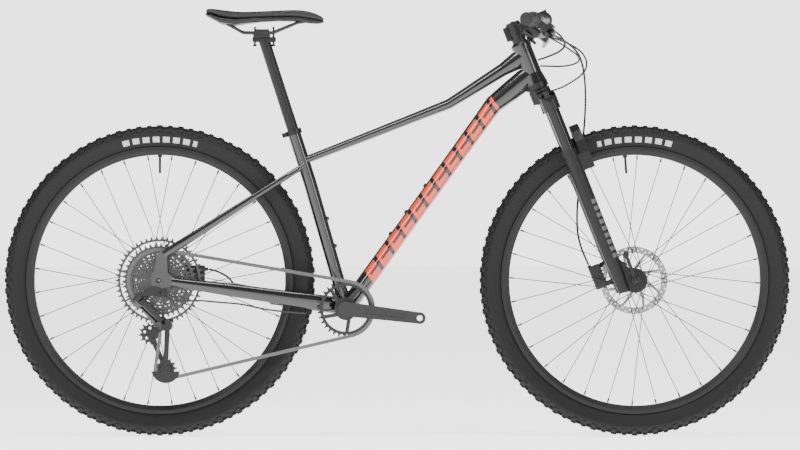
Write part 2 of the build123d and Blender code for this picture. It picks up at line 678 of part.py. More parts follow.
def stem():
    """The stem, its split faceplate and its bolts."""
    turn = dict(x_dir=STEER_FORWARD, z_dir=STEER_UP)
    centre = bar_clamp_centre()
    half = Vector(0, 23, 0)
    ring = rod(steer(STEM_BOTTOM), steer(STEM_BOTTOM + STEM_HEIGHT), 19.0)
    neck = slab(steer(STEM_CENTRE, STEM_LENGTH / 2), (STEM_LENGTH - 12, 33, 30), fillet_radius=6, **turn)
    clamp = rod(centre - half, centre + half, BAR_CLAMP_RADIUS + 5.2)
    ears = slab(steer(STEM_CENTRE, -19.5), (15, 24, STEM_HEIGHT - 4), fillet_radius=2.5, **turn)
    body = ring + neck + clamp + ears
    body = body - rod(steer(STEM_BOTTOM - 1), steer(STEM_BOTTOM + STEM_HEIGHT + 1), STEERER_RADIUS)
    body = body - rod(centre - half * 1.2, centre + half * 1.2, BAR_CLAMP_RADIUS)
    body = body - slab(steer(STEM_CENTRE, -22), (22, 2.4, STEM_HEIGHT + 4), **turn)
    split = slab(steer(STEM_CENTRE, STEM_LENGTH + 1), (1.2, 60, 60), **turn)
    pieces = sorted((body - split).solids(), key=lambda piece: -piece.volume)[:2]
    bolts = []
    across = Vector(0, 1, 0)
    for along in (-11, 11):
        place = steer(STEM_CENTRE + along, -21)
        pieces = [piece - rod(place - across * 12, place + across * 12, BOLT_RADIUS) for piece in pieces]
        bolts.append(rod(place - across * 12, place + across * 12, BOLT_RADIUS) + rod(place - across * 16, place - across * 12, 4.4))
        for side in (-1, 1):
            start = steer(STEM_CENTRE + along * 1.75, STEM_LENGTH - 14, side * 15.5)
            end = steer(STEM_CENTRE + along * 1.75, STEM_LENGTH + 12, side * 15.5)
            tip = steer(STEM_CENTRE + along * 1.75, STEM_LENGTH + 15, side * 15.5)
            pieces = [piece - rod(start, end, BOLT_RADIUS) for piece in pieces]
            pieces = [piece - rod(end, tip + STEER_FORWARD * 9, 4.2) for piece in pieces]
            bolts.append(rod(start, end, BOLT_RADIUS) + rod(end, tip, 4.0))
    return [solids_of(piece)[0] for piece in pieces] + bolts


# ---- handlebar and controls ----
BAR_DROP = 1.8
BAR_STRAIGHT = 34.0
BAR_OUTWARD = Vector(-tan(radians(BAR_BACKSWEEP)), -1, -tan(radians(BAR_DROP))).normalized()
BAR_CENTRE = bar_clamp_centre()
BAR_BEND = BAR_CENTRE + Vector(0, -BAR_STRAIGHT, 0)
BAR_END_RUN = (BAR_WIDTH / 2 - 3 - BAR_STRAIGHT) / abs(BAR_OUTWARD.Y)
BAR_END = BAR_BEND + BAR_OUTWARD * BAR_END_RUN


def flipped(point):
    return Vector(point.X, -point.Y, point.Z)


def handlebar():
    """The bar: a thick middle for the stem, tapering to swept-back ends, hollow throughout."""
    across = Vector(0, -1, 0)
    knee = (across + BAR_OUTWARD).normalized()
    right = [
        (BAR_END, BAR_OUTWARD, BAR_RADIUS),
        (BAR_BEND + BAR_OUTWARD * 58, BAR_OUTWARD, BAR_RADIUS),
        (BAR_BEND, knee, BAR_CLAMP_RADIUS),
    ]
    left = [(flipped(point), Vector(-along.X, along.Y, -along.Z), radius) for point, along, radius in right[::-1]]
    stations = [(point, along, radius, radius) for point, along, radius in right + left]
    return oval_tube(stations, 2.0)


def grip():
    end = BAR_END + BAR_OUTWARD * 3
    inner = BAR_END - BAR_OUTWARD * GRIP_LENGTH
    sleeve = rod(inner, end, GRIP_RADIUS) + rod(inner, inner + BAR_OUTWARD * 7, GRIP_RADIUS + 3)
    return sleeve - rod(inner - BAR_OUTWARD, BAR_END, BAR_RADIUS)


CONTROL_TILT = 38.0
CONTROL_PLACE = BAR_BEND + BAR_OUTWARD * (LEVER_PLACE - BAR_STRAIGHT)
CONTROL_AHEAD = Vector(cos(radians(CONTROL_TILT)), 0, -sin(radians(CONTROL_TILT)))
CONTROL_UP = BAR_OUTWARD.cross(CONTROL_AHEAD).normalized()
CONTROL = Plane(CONTROL_PLACE, x_dir=BAR_OUTWARD, z_dir=CONTROL_UP)
LEVER_PIVOT = (2.0, 46.0)


def control_point(out, ahead, up=0.0):
    """A point by the right grip: outward along the bar, ahead of it and above that plane."""
    return CONTROL.from_local_coords(Vector(out, ahead, up))


def control_block(centre, size, fillet_radius=0.0):
    return slab(control_point(*centre), size, CONTROL.x_dir, CONTROL.z_dir, fillet_radius)


def control_plate(outline, low, high):
    face = (CONTROL * Pos(0, 0, low)) * make_face(Polyline(*outline, close=True))
    return extrude(face, high - low).solid()


def control_ring(out, width):
    start = control_point(out - width / 2, 0)
    end = control_point(out + width / 2, 0)
    return rod(start, end, BAR_RADIUS + 4.6)


def bar_hole():
    return rod(control_point(-120, 0), control_point(60, 0), BAR_RADIUS)


def lever_body():
    """The brake's clamp, master cylinder and hose boot."""
    body = control_ring(0, 14) + control_block((0, 22, 0), (14, 22, 15))
    body = body + rod(control_point(-68, 33), control_point(8, 33), 9.5)
    body = body + control_block((-34, 36, 8), (56, 16, 10), 3)
    body = body + control_block((2, 43, 0), (20, 22, 19), 2)
    body = body - control_block((4, 52, 0), (44, 30, 10.4)) - bar_hole()
    low = control_point(*LEVER_PIVOT, -9.5)
    high = control_point(*LEVER_PIVOT, 9.5)
    body = (body - rod(low, high, 2.2)).solids()[0]
    pin = rod(low, high, 2.2)
    boot = cone(control_point(-68, 33), control_point(-86, 33), 5.5, 3.6)
    return [body, pin, boot]


def brake_lever():
    outline = [(-6, 40), (5, 39), (24, 50), (64, 55), (104, 60), (112, 66), (106, 69), (62, 64), (22, 61), (-4, 53)]
    blade = control_plate(outline, -4.6, 4.6)
    return blade - rod(control_point(*LEVER_PIVOT, -9), control_point(*LEVER_PIVOT, 9), 2.2 + 0.15)


SHIFT_PIVOT = (-30.0, 15.0)


def shifter_body():
    """The shifter's clamp and case under the bar, with the pivot that its levers turn on."""
    body = control_ring(-24, 10) + control_block((-24, 2, -14), (10, 20, 18))
    body = (body + control_block((-31, 13, -25), (46, 34, 18), 4)) - bar_hole()
    pivot = rod(control_point(*SHIFT_PIVOT, -34), control_point(*SHIFT_PIVOT, -48), 4.0)
    cap = rod(control_point(*SHIFT_PIVOT, -48), control_point(*SHIFT_PIVOT, -50), 6.0)
    nose = rod(control_point(-54, 13, -25), control_point(-66, 13, -25), 4.0)
    return [solids_of(body)[0], pivot + cap, nose]


def shift_paddle(outline, low, high):
    blade = control_plate(outline, low, high)
    return blade - rod(control_point(*SHIFT_PIVOT, low - 1), control_point(*SHIFT_PIVOT, high + 1), 4.0 + 0.2)


def shift_thumb_lever():
    outline = [(-38, 8), (-24, 5), (2, -10), (12, -4), (8, 6), (-20, 24), (-36, 24)]
    return shift_paddle(outline, -40.6, -34.4)


def shift_release_lever():
    outline = [(-38, 9), (-26, 8), (-8, 24), (-6, 32), (-13, 36), (-36, 24)]
    return shift_paddle(outline, -47.6, -41.2)


def lockout_remote():
    """The remote's clamp and cable drum on the left, under the bar."""
    body = control_ring(-24, 10) + control_block((-24, 0, -16), (12, 20, 14), 2)
    body = (body - bar_hole()).solids()[0]
    post = rod(control_point(-24, 0, -23), control_point(-24, 0, -32), 3.5)
    nose = rod(control_point(-30, 4, -18), control_point(-42, 8, -18), 3.2) - body
    return [mirrored(piece) for piece in (body, post, nose)]


def lockout_lever():
    drum = rod(control_point(-24, 0, -23.4), control_point(-24, 0, -30), 12)
    outline = [(-30, -6), (-18, -8), (6, -20), (12, -14), (8, -6), (-14, 8)]
    lever = drum + control_plate(outline, -30, -25)
    return mirrored(lever - rod(control_point(-24, 0, -22), control_point(-24, 0, -34), 3.5 + 0.2))


# ---- axle and its lever ----
AXLE_HEAD_OUTER = -LEG_Y - 25
LEVER_LENGTH = 74.0


def front_axle():
    """The through axle: threaded on the left and headed on the right, with a pivot pin."""
    centre = FRONT_AXLE
    bar = rod(centre + Vector(0, LEG_Y + 8, 0), centre + Vector(0, -LEG_Y - 6, 0), AXLE_RADIUS, 4.0)
    head = rod(centre + Vector(0, -LEG_Y - 6, 0), centre + Vector(0, AXLE_HEAD_OUTER, 0), 10.5)
    slot = slab(
        centre + Vector(0, AXLE_HEAD_OUTER + 3, 0) + STEER_UP * 6,
        (8.8, 22, 34),
        x_dir=STEER_FORWARD,
        z_dir=STEER_UP,
    )
    pivot = axle_lever_pivot()
    pin = rod(pivot - STEER_FORWARD * 9, pivot + STEER_FORWARD * 9, 1.8)
    head = (head - slot - pin).solids()
    return [bar] + list(head) + [pin]


def axle_lever_pivot():
    return FRONT_AXLE + Vector(0, AXLE_HEAD_OUTER + 6, 0)


def axle_lever():
    """The flip lever, folded up along the right leg."""
    pivot = axle_lever_pivot()
    root = rod(pivot - STEER_FORWARD * 4, pivot + STEER_FORWARD * 4, 5.2)
    arm = slab(
        pivot + STEER_UP * (LEVER_LENGTH / 2),
        (8, 5, LEVER_LENGTH),
        x_dir=STEER_FORWARD,
        z_dir=STEER_UP,
        fillet_radius=1.5,
    )
    tip = rod(
        pivot + STEER_UP * (LEVER_LENGTH - 8) - Vector(0, 2.5, 0),
        pivot + STEER_UP * (LEVER_LENGTH - 8) + Vector(0, 2.5, 0),
        7.5,
    )
    lever = root + arm + tip
    return lever - rod(pivot - STEER_FORWARD * 9, pivot + STEER_FORWARD * 9, 1.8 + 0.15)


# ---- wheels ----
def ring_about(axle, outline):
    """A ring about an axle from an outline of side and radius."""
    plane = Plane(axle, x_dir=(0, 1, 0), z_dir=(-1, 0, 0))
    up_plane = Plane(axle, x_dir=(0, 1, 0), z_dir=plane.x_dir.cross(Vector(0, 0, 1)))
    face = up_plane * make_face(Polyline(*outline, close=True))
    return revolve(face, Axis(axle, (0, 1, 0)), 360).solid()


def tyre(axle):
    """The tyre's casing and tread band, open towards the rim."""
    half = TYRE_WIDTH / 2
    seat = RIM_RADIUS - 6.7
    bead_out = RIM_WIDTH / 2 - 2.4
    bead_in = bead_out - 2.8
    side_low = RIM_RADIUS + 0.2
    middle = TYRE_RADIUS - 30
    shoulder = TYRE_RADIUS - 12.5
    plane = Plane(axle, x_dir=(0, 1, 0), z_dir=Vector(0, 1, 0).cross(Vector(0, 0, 1)))
    outer_left = [
        Line((bead_in, seat), (bead_out, seat)),
        Line((bead_out, seat), (bead_out, side_low)),
        ThreePointArc((bead_out, side_low), (half, middle), (half - 3.2, shoulder)),
    ]
    tread = ThreePointArc((half - 3.2, shoulder), (0, TYRE_RADIUS), (-half + 3.2, shoulder))
    outer_right = [
        ThreePointArc((-half + 3.2, shoulder), (-half, middle), (-bead_out, side_low)),
        Line((-bead_out, side_low), (-bead_out, seat)),
        Line((-bead_out, seat), (-bead_in, seat)),
    ]
    inner_side = ThreePointArc((-bead_in, side_low), (-half + 3.2, middle), (0, TYRE_RADIUS - 7.0))
    inner_back = ThreePointArc((0, TYRE_RADIUS - 7.0), (half - 3.2, middle), (bead_in, side_low))
    edges = outer_left + [tread] + outer_right
    edges += [Line((-bead_in, seat), (-bead_in, side_low)), inner_side, inner_back]
    edges += [Line((bead_in, side_low), (bead_in, seat))]
    face = plane * make_face(edges)
    return revolve(face, Axis(axle, (0, 1, 0)), 360).solid()


def rim(axle):
    """A hooked box-section rim."""
    half = RIM_WIDTH / 2
    shelf = RIM_RADIUS - 7
    hook = half - 2.3
    outside = [(half, RIM_RADIUS), (half, RIM_RADIUS - 9), (9.5, RIM_BED_RADIUS + 1), (-9.5, RIM_BED_RADIUS + 1)]
    outside += [(-half, RIM_RADIUS - 9), (-half, RIM_RADIUS), (-hook, RIM_RADIUS), (-hook, shelf), (-6, shelf)]
    outside += [(-4, shelf - 2), (4, shelf - 2), (6, shelf), (hook, shelf), (hook, RIM_RADIUS)]
    cavity = [(hook - 1, shelf - 3.4), (7.5, RIM_BED_RADIUS + 3), (-7.5, RIM_BED_RADIUS + 3), (-hook + 1, shelf - 3.4)]
    return ring_about(axle, outside) - ring_about(axle, cavity)


def around(axle, angle, radius, side):
    """A point around an axle; the angle is measured forward from straight up."""
    a = radians(angle)
    return axle + Vector(radius * sin(a), side, radius * cos(a))


NIPPLE_LENGTH = 11.0
NIPPLE_RADIUS = 2.0
HOLE_STEP = 360.0 / SPOKE_COUNT


def wheel_spokes(axle, turn, flanges, flange_radius):
    """Spokes laced three-cross: each side's spokes lean alternately forward and back."""
    pieces = []
    for i in range(SPOKE_COUNT):
        angle = turn + (i + 0.5) * HOLE_STEP
        flange = flanges[i % 2]
        lean = 6 * HOLE_STEP if (i // 2) % 2 else -6 * HOLE_STEP
        outward = 1 if flange > 0 else -1
        face = 1 if (i // 2) % 2 else -1
        outside = 1.6 if face == outward else 0.0
        offset = face * (1.6 + SPOKE_RADIUS + outside)
        start = around(axle, angle + lean, flange_radius, flange + offset)
        rim_side = outward * 2.0
        bed = around(axle, angle, RIM_BED_RADIUS + 1, rim_side)
        line = (bed - start).normalized()
        nipple_foot = bed - line * NIPPLE_LENGTH
        elbow_end = start - Vector(0, face * (SPOKE_RADIUS + 4.4 + outside), 0)
        wire = rod(start, nipple_foot, SPOKE_RADIUS) + rod(start, elbow_end, SPOKE_RADIUS)
        head = elbow_end + Vector(0, face * 1.2, 0)
        wire = wire + rod(elbow_end, head, 2.0)
        pieces.append(wire)
        pieces.append(rod(nipple_foot, bed - line * 1.2, NIPPLE_RADIUS))
    return pieces


def valve(axle, turn):
    """The tubeless valve and its cap, at the valve hole between two spokes."""
    def at(radius):
        return around(axle, turn, radius, 0)

    stem_piece = rod(at(RIM_BED_RADIUS - 42), at(RIM_BED_RADIUS + 1.2), 3.0)
    nut = rod(at(RIM_BED_RADIUS - 4), at(RIM_BED_RADIUS + 1), 5.2)
    return stem_piece + nut


def flange_disc(axle, side, radius, turn, flange_radius, holes):
    """A hub flange with its spoke holes."""
    solid = disc(axle + Vector(0, side, 0), radius, 3.2)
    for i in holes:
        angle = turn + (i + 0.5) * HOLE_STEP + (6 * HOLE_STEP if (i // 2) % 2 else -6 * HOLE_STEP)
        place = around(axle, angle, flange_radius, side)
        solid = solid - disc(place, SPOKE_RADIUS + 0.2, 5)
    return solid


FRONT_FLANGES = (-36.0, 26.0)
REAR_FLANGES = (-19.5, 36.0)
FRONT_FLANGE_RADIUS = 25.0
REAR_FLANGE_RADIUS = 27.0
FRONT_ROTOR_PLANE = 40.5
REAR_ROTOR_PLANE = 53.5
FREEHUB_INNER = -23.0


def front_hub():
    """The hub shell with its flanges, rotor seat and end caps, bored for the axle."""
    axle = FRONT_AXLE
    half = FRONT_HUB_WIDTH / 2
    body = disc(axle, 16, 2 * 34)
    body = body + cone(axle + Vector(0, -34, 0), axle + Vector(0, -half + 2, 0), 16, 10.5)
    body = body + disc(axle + Vector(0, 45, 0), 10.5, 2 * (half - 46))
    body = body + disc(axle + Vector(0, 36, 0), 21, 7.2)
    for k, side in enumerate(FRONT_FLANGES):
        holes = [i for i in range(SPOKE_COUNT) if i % 2 == k]
        body = body + flange_disc(axle, side, FRONT_FLANGE_RADIUS + 4, FRONT_WHEEL_TURN, FRONT_FLANGE_RADIUS, holes)
    caps = []
    for side in (-1, 1):
        caps.append(disc(axle + Vector(0, side * (half - 1), 0), 10.5, 2, AXLE_RADIUS + 0.15))
    body = body - disc(axle, AXLE_RADIUS + 0.15, FRONT_HUB_WIDTH + 4)
    return [body.solids().sort_by(SortBy.VOLUME)[-1]] + caps[:1]


def rear_hub():
    """The rear hub shell; the freehub that carries the cassette turns beside it."""
    axle = REAR_AXLE
    half = DROPOUT_INNER
    body = rod(axle + Vector(0, -20, 0), axle + Vector(0, 48, 0), 18)
    body = body + rod(axle + Vector(0, 44, 0), axle + Vector(0, REAR_ROTOR_PLANE - ROTOR_THICKNESS / 2, 0), 21)
    body = body + rod(axle + Vector(0, 50, 0), axle + Vector(0, half, 0), 10.5)
    for k, side in enumerate(REAR_FLANGES):
        holes = [i for i in range(SPOKE_COUNT) if i % 2 == k]
        body = body + flange_disc(axle, side, REAR_FLANGE_RADIUS + 4, REAR_WHEEL_TURN, REAR_FLANGE_RADIUS, holes)
    body = body - rod(axle + Vector(0, -90, 0), axle + Vector(0, 90, 0), AXLE_RADIUS + 0.15)
    return body.solids().sort_by(SortBy.VOLUME)[-1]


def rotor(axle, plane_y, radius):
    """A slotted brake disc on six bolts."""
    centre = axle + Vector(0, plane_y, 0)
    band = disc(centre, radius, ROTOR_THICKNESS, radius - 15)
    middle = disc(centre, 27, ROTOR_THICKNESS, 17.4)
    blade = band + middle
    for i in range(8):
        inner = around(centre, i * 45, 24, 0)
        outer = around(centre, i * 45 + 24, radius - 13, 0)
        spoke = (outer - inner).normalized()
        arm = slab((inner + outer) * 0.5, ((outer - inner).length, 6, ROTOR_THICKNESS), spoke, Vector(0, 1, 0))
        blade = blade + arm
    for i in range(24):
        for reach, step in ((radius - 4.5, 0), (radius - 9.5, 7.5)):
            blade = blade - disc(around(centre, i * 15 + step, reach, 0), 1.9, 4)
    blade = blade.solids().sort_by(SortBy.VOLUME)[-1]
    bolts = []
    for i in range(6):
        place = around(centre, i * 60 + 15, 22, 0)
        blade = blade - disc(place, 2.5, 4)
        bolts.append(rod(place + Vector(0, 3, 0), place - Vector(0, ROTOR_THICKNESS / 2, 0), 2.5))
    return [blade.solids().sort_by(SortBy.VOLUME)[-1]] + bolts


# ---- sprockets and chain ----
def pitch_radius(teeth):
    return CHAIN_PITCH / (2 * sin(pi / teeth))


def sprocket(centre, teeth, thickness, first_pin, bore, tooth=3.2):
    """A toothed wheel whose gaps sit at the chain's pins; first_pin is a gap's angle."""
    radius = pitch_radius(teeth)
    outer = radius + tooth
    step = 360.0 / teeth
    outline = []
    root = (ROLLER_RADIUS + 0.12) / cos(radians(20))
    for i in range(teeth):
        gap = radians(first_pin + i * step)
        for turn in (-60, -20, 20, 60):
            a = radians(turn)
            across, inward = root * sin(a), root * cos(a)
            r = radius - inward
            outline.append((r * sin(gap) + across * cos(gap), r * cos(gap) - across * sin(gap)))
        tip = gap + radians(step / 2)
        half_tip = 1.5 / outer
        for turn in (-half_tip, half_tip):
            outline.append((outer * sin(tip + turn), outer * cos(tip + turn)))
    face = Face(Wire.make_polygon([centre + Vector(x, -thickness / 2, z) for x, z in outline], close=True))
    solid = Solid.extrude(face, Vector(0, thickness, 0))
    return solid - disc(centre, bore, thickness + 2)


class Run:
    """The chain's pitch line: straight runs between arcs that alternate round the wheels."""

    def __init__(self, wheels):
        self.pieces = []
        count = len(wheels)
        tangents = [self.tangent(wheels[i], wheels[(i + 1) % count]) for i in range(count)]
        for i in range(count):
            start, end = tangents[i]
            self.pieces.append(("line", start, end, hypot(end[0] - start[0], end[1] - start[1])))
            x, z, teeth, hand = wheels[(i + 1) % count]
            radius = pitch_radius(teeth)
            leave = tangents[(i + 1) % count][0]
            first = atan2(end[1] - z, end[0] - x)
            last = atan2(leave[1] - z, leave[0] - x)
            sweep_angle = (last - first) * -hand
            sweep_angle = sweep_angle % (2 * pi)
            taken_up = sweep_angle * teeth * CHAIN_PITCH / (2 * pi)
            self.pieces.append(("arc", (x, z, radius, hand, first), sweep_angle, taken_up))
        self.length = sum(piece[3] for piece in self.pieces)

    @staticmethod
    def tangent(one, two):
        """Where a straight run leaves one wheel and meets the next; hand 1 turns clockwise."""
        x1, z1, teeth1, h1 = one
        x2, z2, teeth2, h2 = two
        r1, r2 = pitch_radius(teeth1), pitch_radius(teeth2)
        dx, dz = x2 - x1, z2 - z1
        distance = hypot(dx, dz)
        base = atan2(dz, dx)
        offset = acos((h1 * r1 - h2 * r2) / distance)
        angle = base + offset
        start = (x1 + h1 * r1 * cos(angle), z1 + h1 * r1 * sin(angle))
        end = (x2 + h2 * r2 * cos(angle), z2 + h2 * r2 * sin(angle))
        return start, end

    def place(self, travel):
        """The point at a distance along the line, and which piece it lies on."""
        travel = travel % self.length
        for index, (kind, a, b, length) in enumerate(self.pieces):
            if travel <= length:
                break
            travel -= length
        share = travel / length if length else 0
        if kind == "line":
            return (a[0] + (b[0] - a[0]) * share, a[1] + (b[1] - a[1]) * share), index, share
        x, z, radius, hand, first = a
        angle = first - hand * b * share
        return (x + radius * cos(angle), z + radius * sin(angle)), index, share


CHAINRING_CENTRE = (SHELL.X, SHELL.Z)
COG_CENTRE = (REAR_AXLE.X, REAR_AXLE.Z)
COG_PLANE = FIRST_COG_PLANE - COG_PITCH * COG_IN_USE


def cage_point(point, turn):
    """A point of the cage after the cage turns about its pivot, in degrees tension-wheel forward."""
    a = radians(turn)
    x, z = point[0] - CAGE_PIVOT[0], point[1] - CAGE_PIVOT[1]
    return (CAGE_PIVOT[0] + x * cos(a) - z * sin(a), CAGE_PIVOT[1] + x * sin(a) + z * cos(a))


def chain_run(turn):
    """The loop: chainring, tension wheel, guide wheel and cog, seen from the right side."""
    guide = cage_point(GUIDE_PULLEY, turn)
    tension = cage_point(TENSION_PULLEY, turn)
    return Run(
        [
            (*CHAINRING_CENTRE, CHAINRING_TEETH, 1),
            (*tension, PULLEY_TEETH, 1),
            (*guide, PULLEY_TEETH, -1),
            (*COG_CENTRE, COG_TEETH[COG_IN_USE], 1),
        ]
    )


def settled_cage():
    """The smallest turn of the cage that closes the loop with an even number of links."""
    links = 2 * round(chain_run(0.0).length / CHAIN_PITCH / 2)
    low, high = -14.0, 14.0
    for _ in range(60):
        middle = (low + high) / 2
        if chain_run(middle).length > links * CHAIN_PITCH:
            low = middle
        else:
            high = middle
    return links, (low + high) / 2


LINKS, CAGE_TURN = settled_cage()
LOOP = chain_run(CAGE_TURN)
GUIDE_CENTRE = cage_point(GUIDE_PULLEY, CAGE_TURN)
TENSION_CENTRE = cage_point(TENSION_PULLEY, CAGE_TURN)
print("chain", LINKS, "cage turn", round(CAGE_TURN, 3), "length", round(LOOP.length, 3))
print("runs", [(p[0], round(p[3], 1)) for p in LOOP.pieces])


def pin_angle(wheel_centre, piece_index):
    """The angle, forward from straight up, of the first chain pin on a wheel."""
    for k in range(LINKS):
        (x, z), index, _ = LOOP.place(k * CHAIN_PITCH)
        if index == piece_index:
            return degrees(atan2(x - wheel_centre[0], z - wheel_centre[1]))
    return 0.0


TENSION_ARC, GUIDE_ARC, COG_ARC, RING_ARC = 1, 3, 5, 7
PLATE_RADIUS = 4.1
PIN_RADIUS = 1.8
INNER_PLATES = (1.10, 1.86)
OUTER_PLATES = (1.94, 2.62)


def link_plate(low, high):
    middle = Plane(Vector(CHAIN_PITCH / 2, low, 0), x_dir=(1, 0, 0), z_dir=(0, 1, 0))
    return extrude(middle * SlotCenterToCenter(CHAIN_PITCH, 2 * PLATE_RADIUS), high - low).solid()


def outer_link():
    """Two outer plates on their two pins."""
    low, high = OUTER_PLATES
    link = link_plate(low, high) + link_plate(-high, -low)
    for x in (0, CHAIN_PITCH):
        link = link + rod(Vector(x, -high - 0.1, 0), Vector(x, high + 0.1, 0), PIN_RADIUS)
    return link.solid()


def inner_link():
    """Two inner plates with their two rollers."""
    low, high = INNER_PLATES
    link = link_plate(low, high) + link_plate(-high, -low)
    for x in (0, CHAIN_PITCH):
        link = link + rod(Vector(x, -low, 0), Vector(x, low, 0), ROLLER_RADIUS)
        link = link - rod(Vector(x, -high - 1, 0), Vector(x, high + 1, 0), PIN_RADIUS + 0.08)
    return link.solid()


def chain_side(index, share):
    """How far to the side the chain runs: it crosses over between the ring and the cog."""
    ease = share * share * (3 - 2 * share)
    if index == 0:
        return CHAINRING_PLANE + (COG_PLANE - CHAINRING_PLANE) * ease
    if index == 6:
        return COG_PLANE + (CHAINRING_PLANE - COG_PLANE) * ease
    return CHAINRING_PLANE if index == RING_ARC else COG_PLANE


def chain():
    pins = []
    for k in range(LINKS):
        (x, z), index, share = LOOP.place(k * CHAIN_PITCH)
        pins.append(Vector(x, chain_side(index, share), z))
    templates = (outer_link(), inner_link())
    links = []
    for k, pin in enumerate(pins):
        ahead = pins[(k + 1) % LINKS] - pin
        up = ahead.cross(Vector(0, 1, 0))
        place = Plane(pin, x_dir=ahead, z_dir=up)
        links.append(templates[k % 2].moved(place.location))
    return links


# ---- crankset ----
CRANK_ALONG = Vector(cos(radians(CRANK_TURN)), 0, sin(radians(CRANK_TURN)))
ARM_THICKNESS = 14.0
ARM_HUB_RADIUS = 18.0
ARM_END_RADIUS = 14.0
PEDAL_BORE = 6.75
SPINDLE_HOLE = SPINDLE_RADIUS


def crank_arm(side, outer_face, hub_inner_face):
    """A forged arm with a deep hub at the spindle and a boss for the pedal thread."""
    along = CRANK_ALONG * -side
    outer = side * outer_face
    inner = side * (outer_face - ARM_THICKNESS)
    middle = Vector(0, (outer + inner) / 2, 0)
    pedal = SHELL + along * CRANK_LENGTH
    up = Vector(-along.Z, 0, along.X)
    corners = [
        SHELL + up * (ARM_HUB_RADIUS - 1),
        SHELL - up * (ARM_HUB_RADIUS - 1),
        pedal - up * (ARM_END_RADIUS - 0.5),
        pedal + up * (ARM_END_RADIUS - 0.5),
    ]
    arm = plate([(c.X, c.Z) for c in corners], min(outer, inner), max(outer, inner))
    arm = arm + disc(SHELL + middle, ARM_HUB_RADIUS, ARM_THICKNESS)
    arm = arm + disc(pedal + middle, ARM_END_RADIUS, ARM_THICKNESS)
    hub = rod(SHELL + Vector(0, side * hub_inner_face, 0), SHELL + middle, ARM_HUB_RADIUS - 1)
    arm = arm + hub
    groove_middle = SHELL + along * (CRANK_LENGTH * 0.52) + Vector(0, outer, 0)
    groove = slab(groove_middle, (CRANK_LENGTH * 0.55, 4, 11), x_dir=along, z_dir=up, fillet_radius=1.5)
    arm = arm - groove - disc(pedal + middle, PEDAL_BORE, ARM_THICKNESS + 2)
    arm = arm - rod(SHELL + Vector(0, side * 40, 0), SHELL + Vector(0, side * (outer_face - 3), 0), SPINDLE_HOLE)
    return arm.solids().sort_by(SortBy.VOLUME)[-1]


RIGHT_HUB_FACE = -CHAINRING_PLANE + 1.1
LEFT_ARM_FACE = 84.0
LEFT_HUB_FACE = 46.0


def crank_spindle():
    right = SHELL + Vector(0, CRANK_OUTER_FACE + 3, 0)
    left = SHELL + Vector(0, LEFT_ARM_FACE - 3, 0)
    return rod(left, right, SPINDLE_RADIUS, SPINDLE_RADIUS - 3)


def chainring():
    """A one-piece ring: toothed rim, five arms and a hub that bolts to the crank."""
    centre = SHELL + Vector(0, CHAINRING_PLANE, 0)
    first = pin_angle(CHAINRING_CENTRE, RING_ARC)
    rim_inner = pitch_radius(CHAINRING_TEETH) - 11
    ring = sprocket(centre, CHAINRING_TEETH, 1.8, first, rim_inner)
    ring = ring + disc(centre, 27, 2.0, SPINDLE_RADIUS + 0.3)
    for i in range(5):
        inner = around(centre, i * 72 + 20, 25, 0)
        outer = around(centre, i * 72 + 34, rim_inner + 2, 0)
        reach = outer - inner
        ring = ring + slab((inner + outer) * 0.5, (reach.length, 9, 2.0), reach, Vector(0, 1, 0))
    bolts = []
    ring = ring.solids().sort_by(SortBy.VOLUME)[-1]
    for i in range(3):
        place = around(centre, i * 120, 20.5, 0)
        ring = ring - disc(place, 2.2, 4)
        bolts.append(rod(place + Vector(0, 2.6, 0), place - Vector(0, 1.0, 0), 2.2))
    return [ring.solid()] + bolts


def bottom_bracket_cups():
    """The two threaded cups with their outboard bearings, and the sleeve between them."""
    cups = []
    bore = SPINDLE_RADIUS + 0.25
    for side in (-1, 1):
        face = SHELL + Vector(0, side * SHELL_WIDTH / 2, 0)
        out = Vector(0, side, 0)
        cup = rod(face, face + out * 7.5, SHELL_RADIUS + 0.5) + rod(face - out * 16, face, SHELL_BORE)
        cups.append(cup - rod(face - out * 20, face + out * 9, bore))
    inner = SHELL_WIDTH / 2 - 16
    cups.append(rod(SHELL - Vector(0, inner, 0), SHELL + Vector(0, inner, 0), 14.5, 13.2))
    return cups


# ---- cassette ----
COG_THICKNESS = 1.7
FREEHUB_RADIUS = 16.4


OPEN_COG_RADIUS = 40.0
COG_RIM_DEPTH = 9.0
COG_HUB_RADIUS = FREEHUB_RADIUS + 6
COG_ARM_WIDTH = 5.0
COG_ARM_SWEEP = 14.0


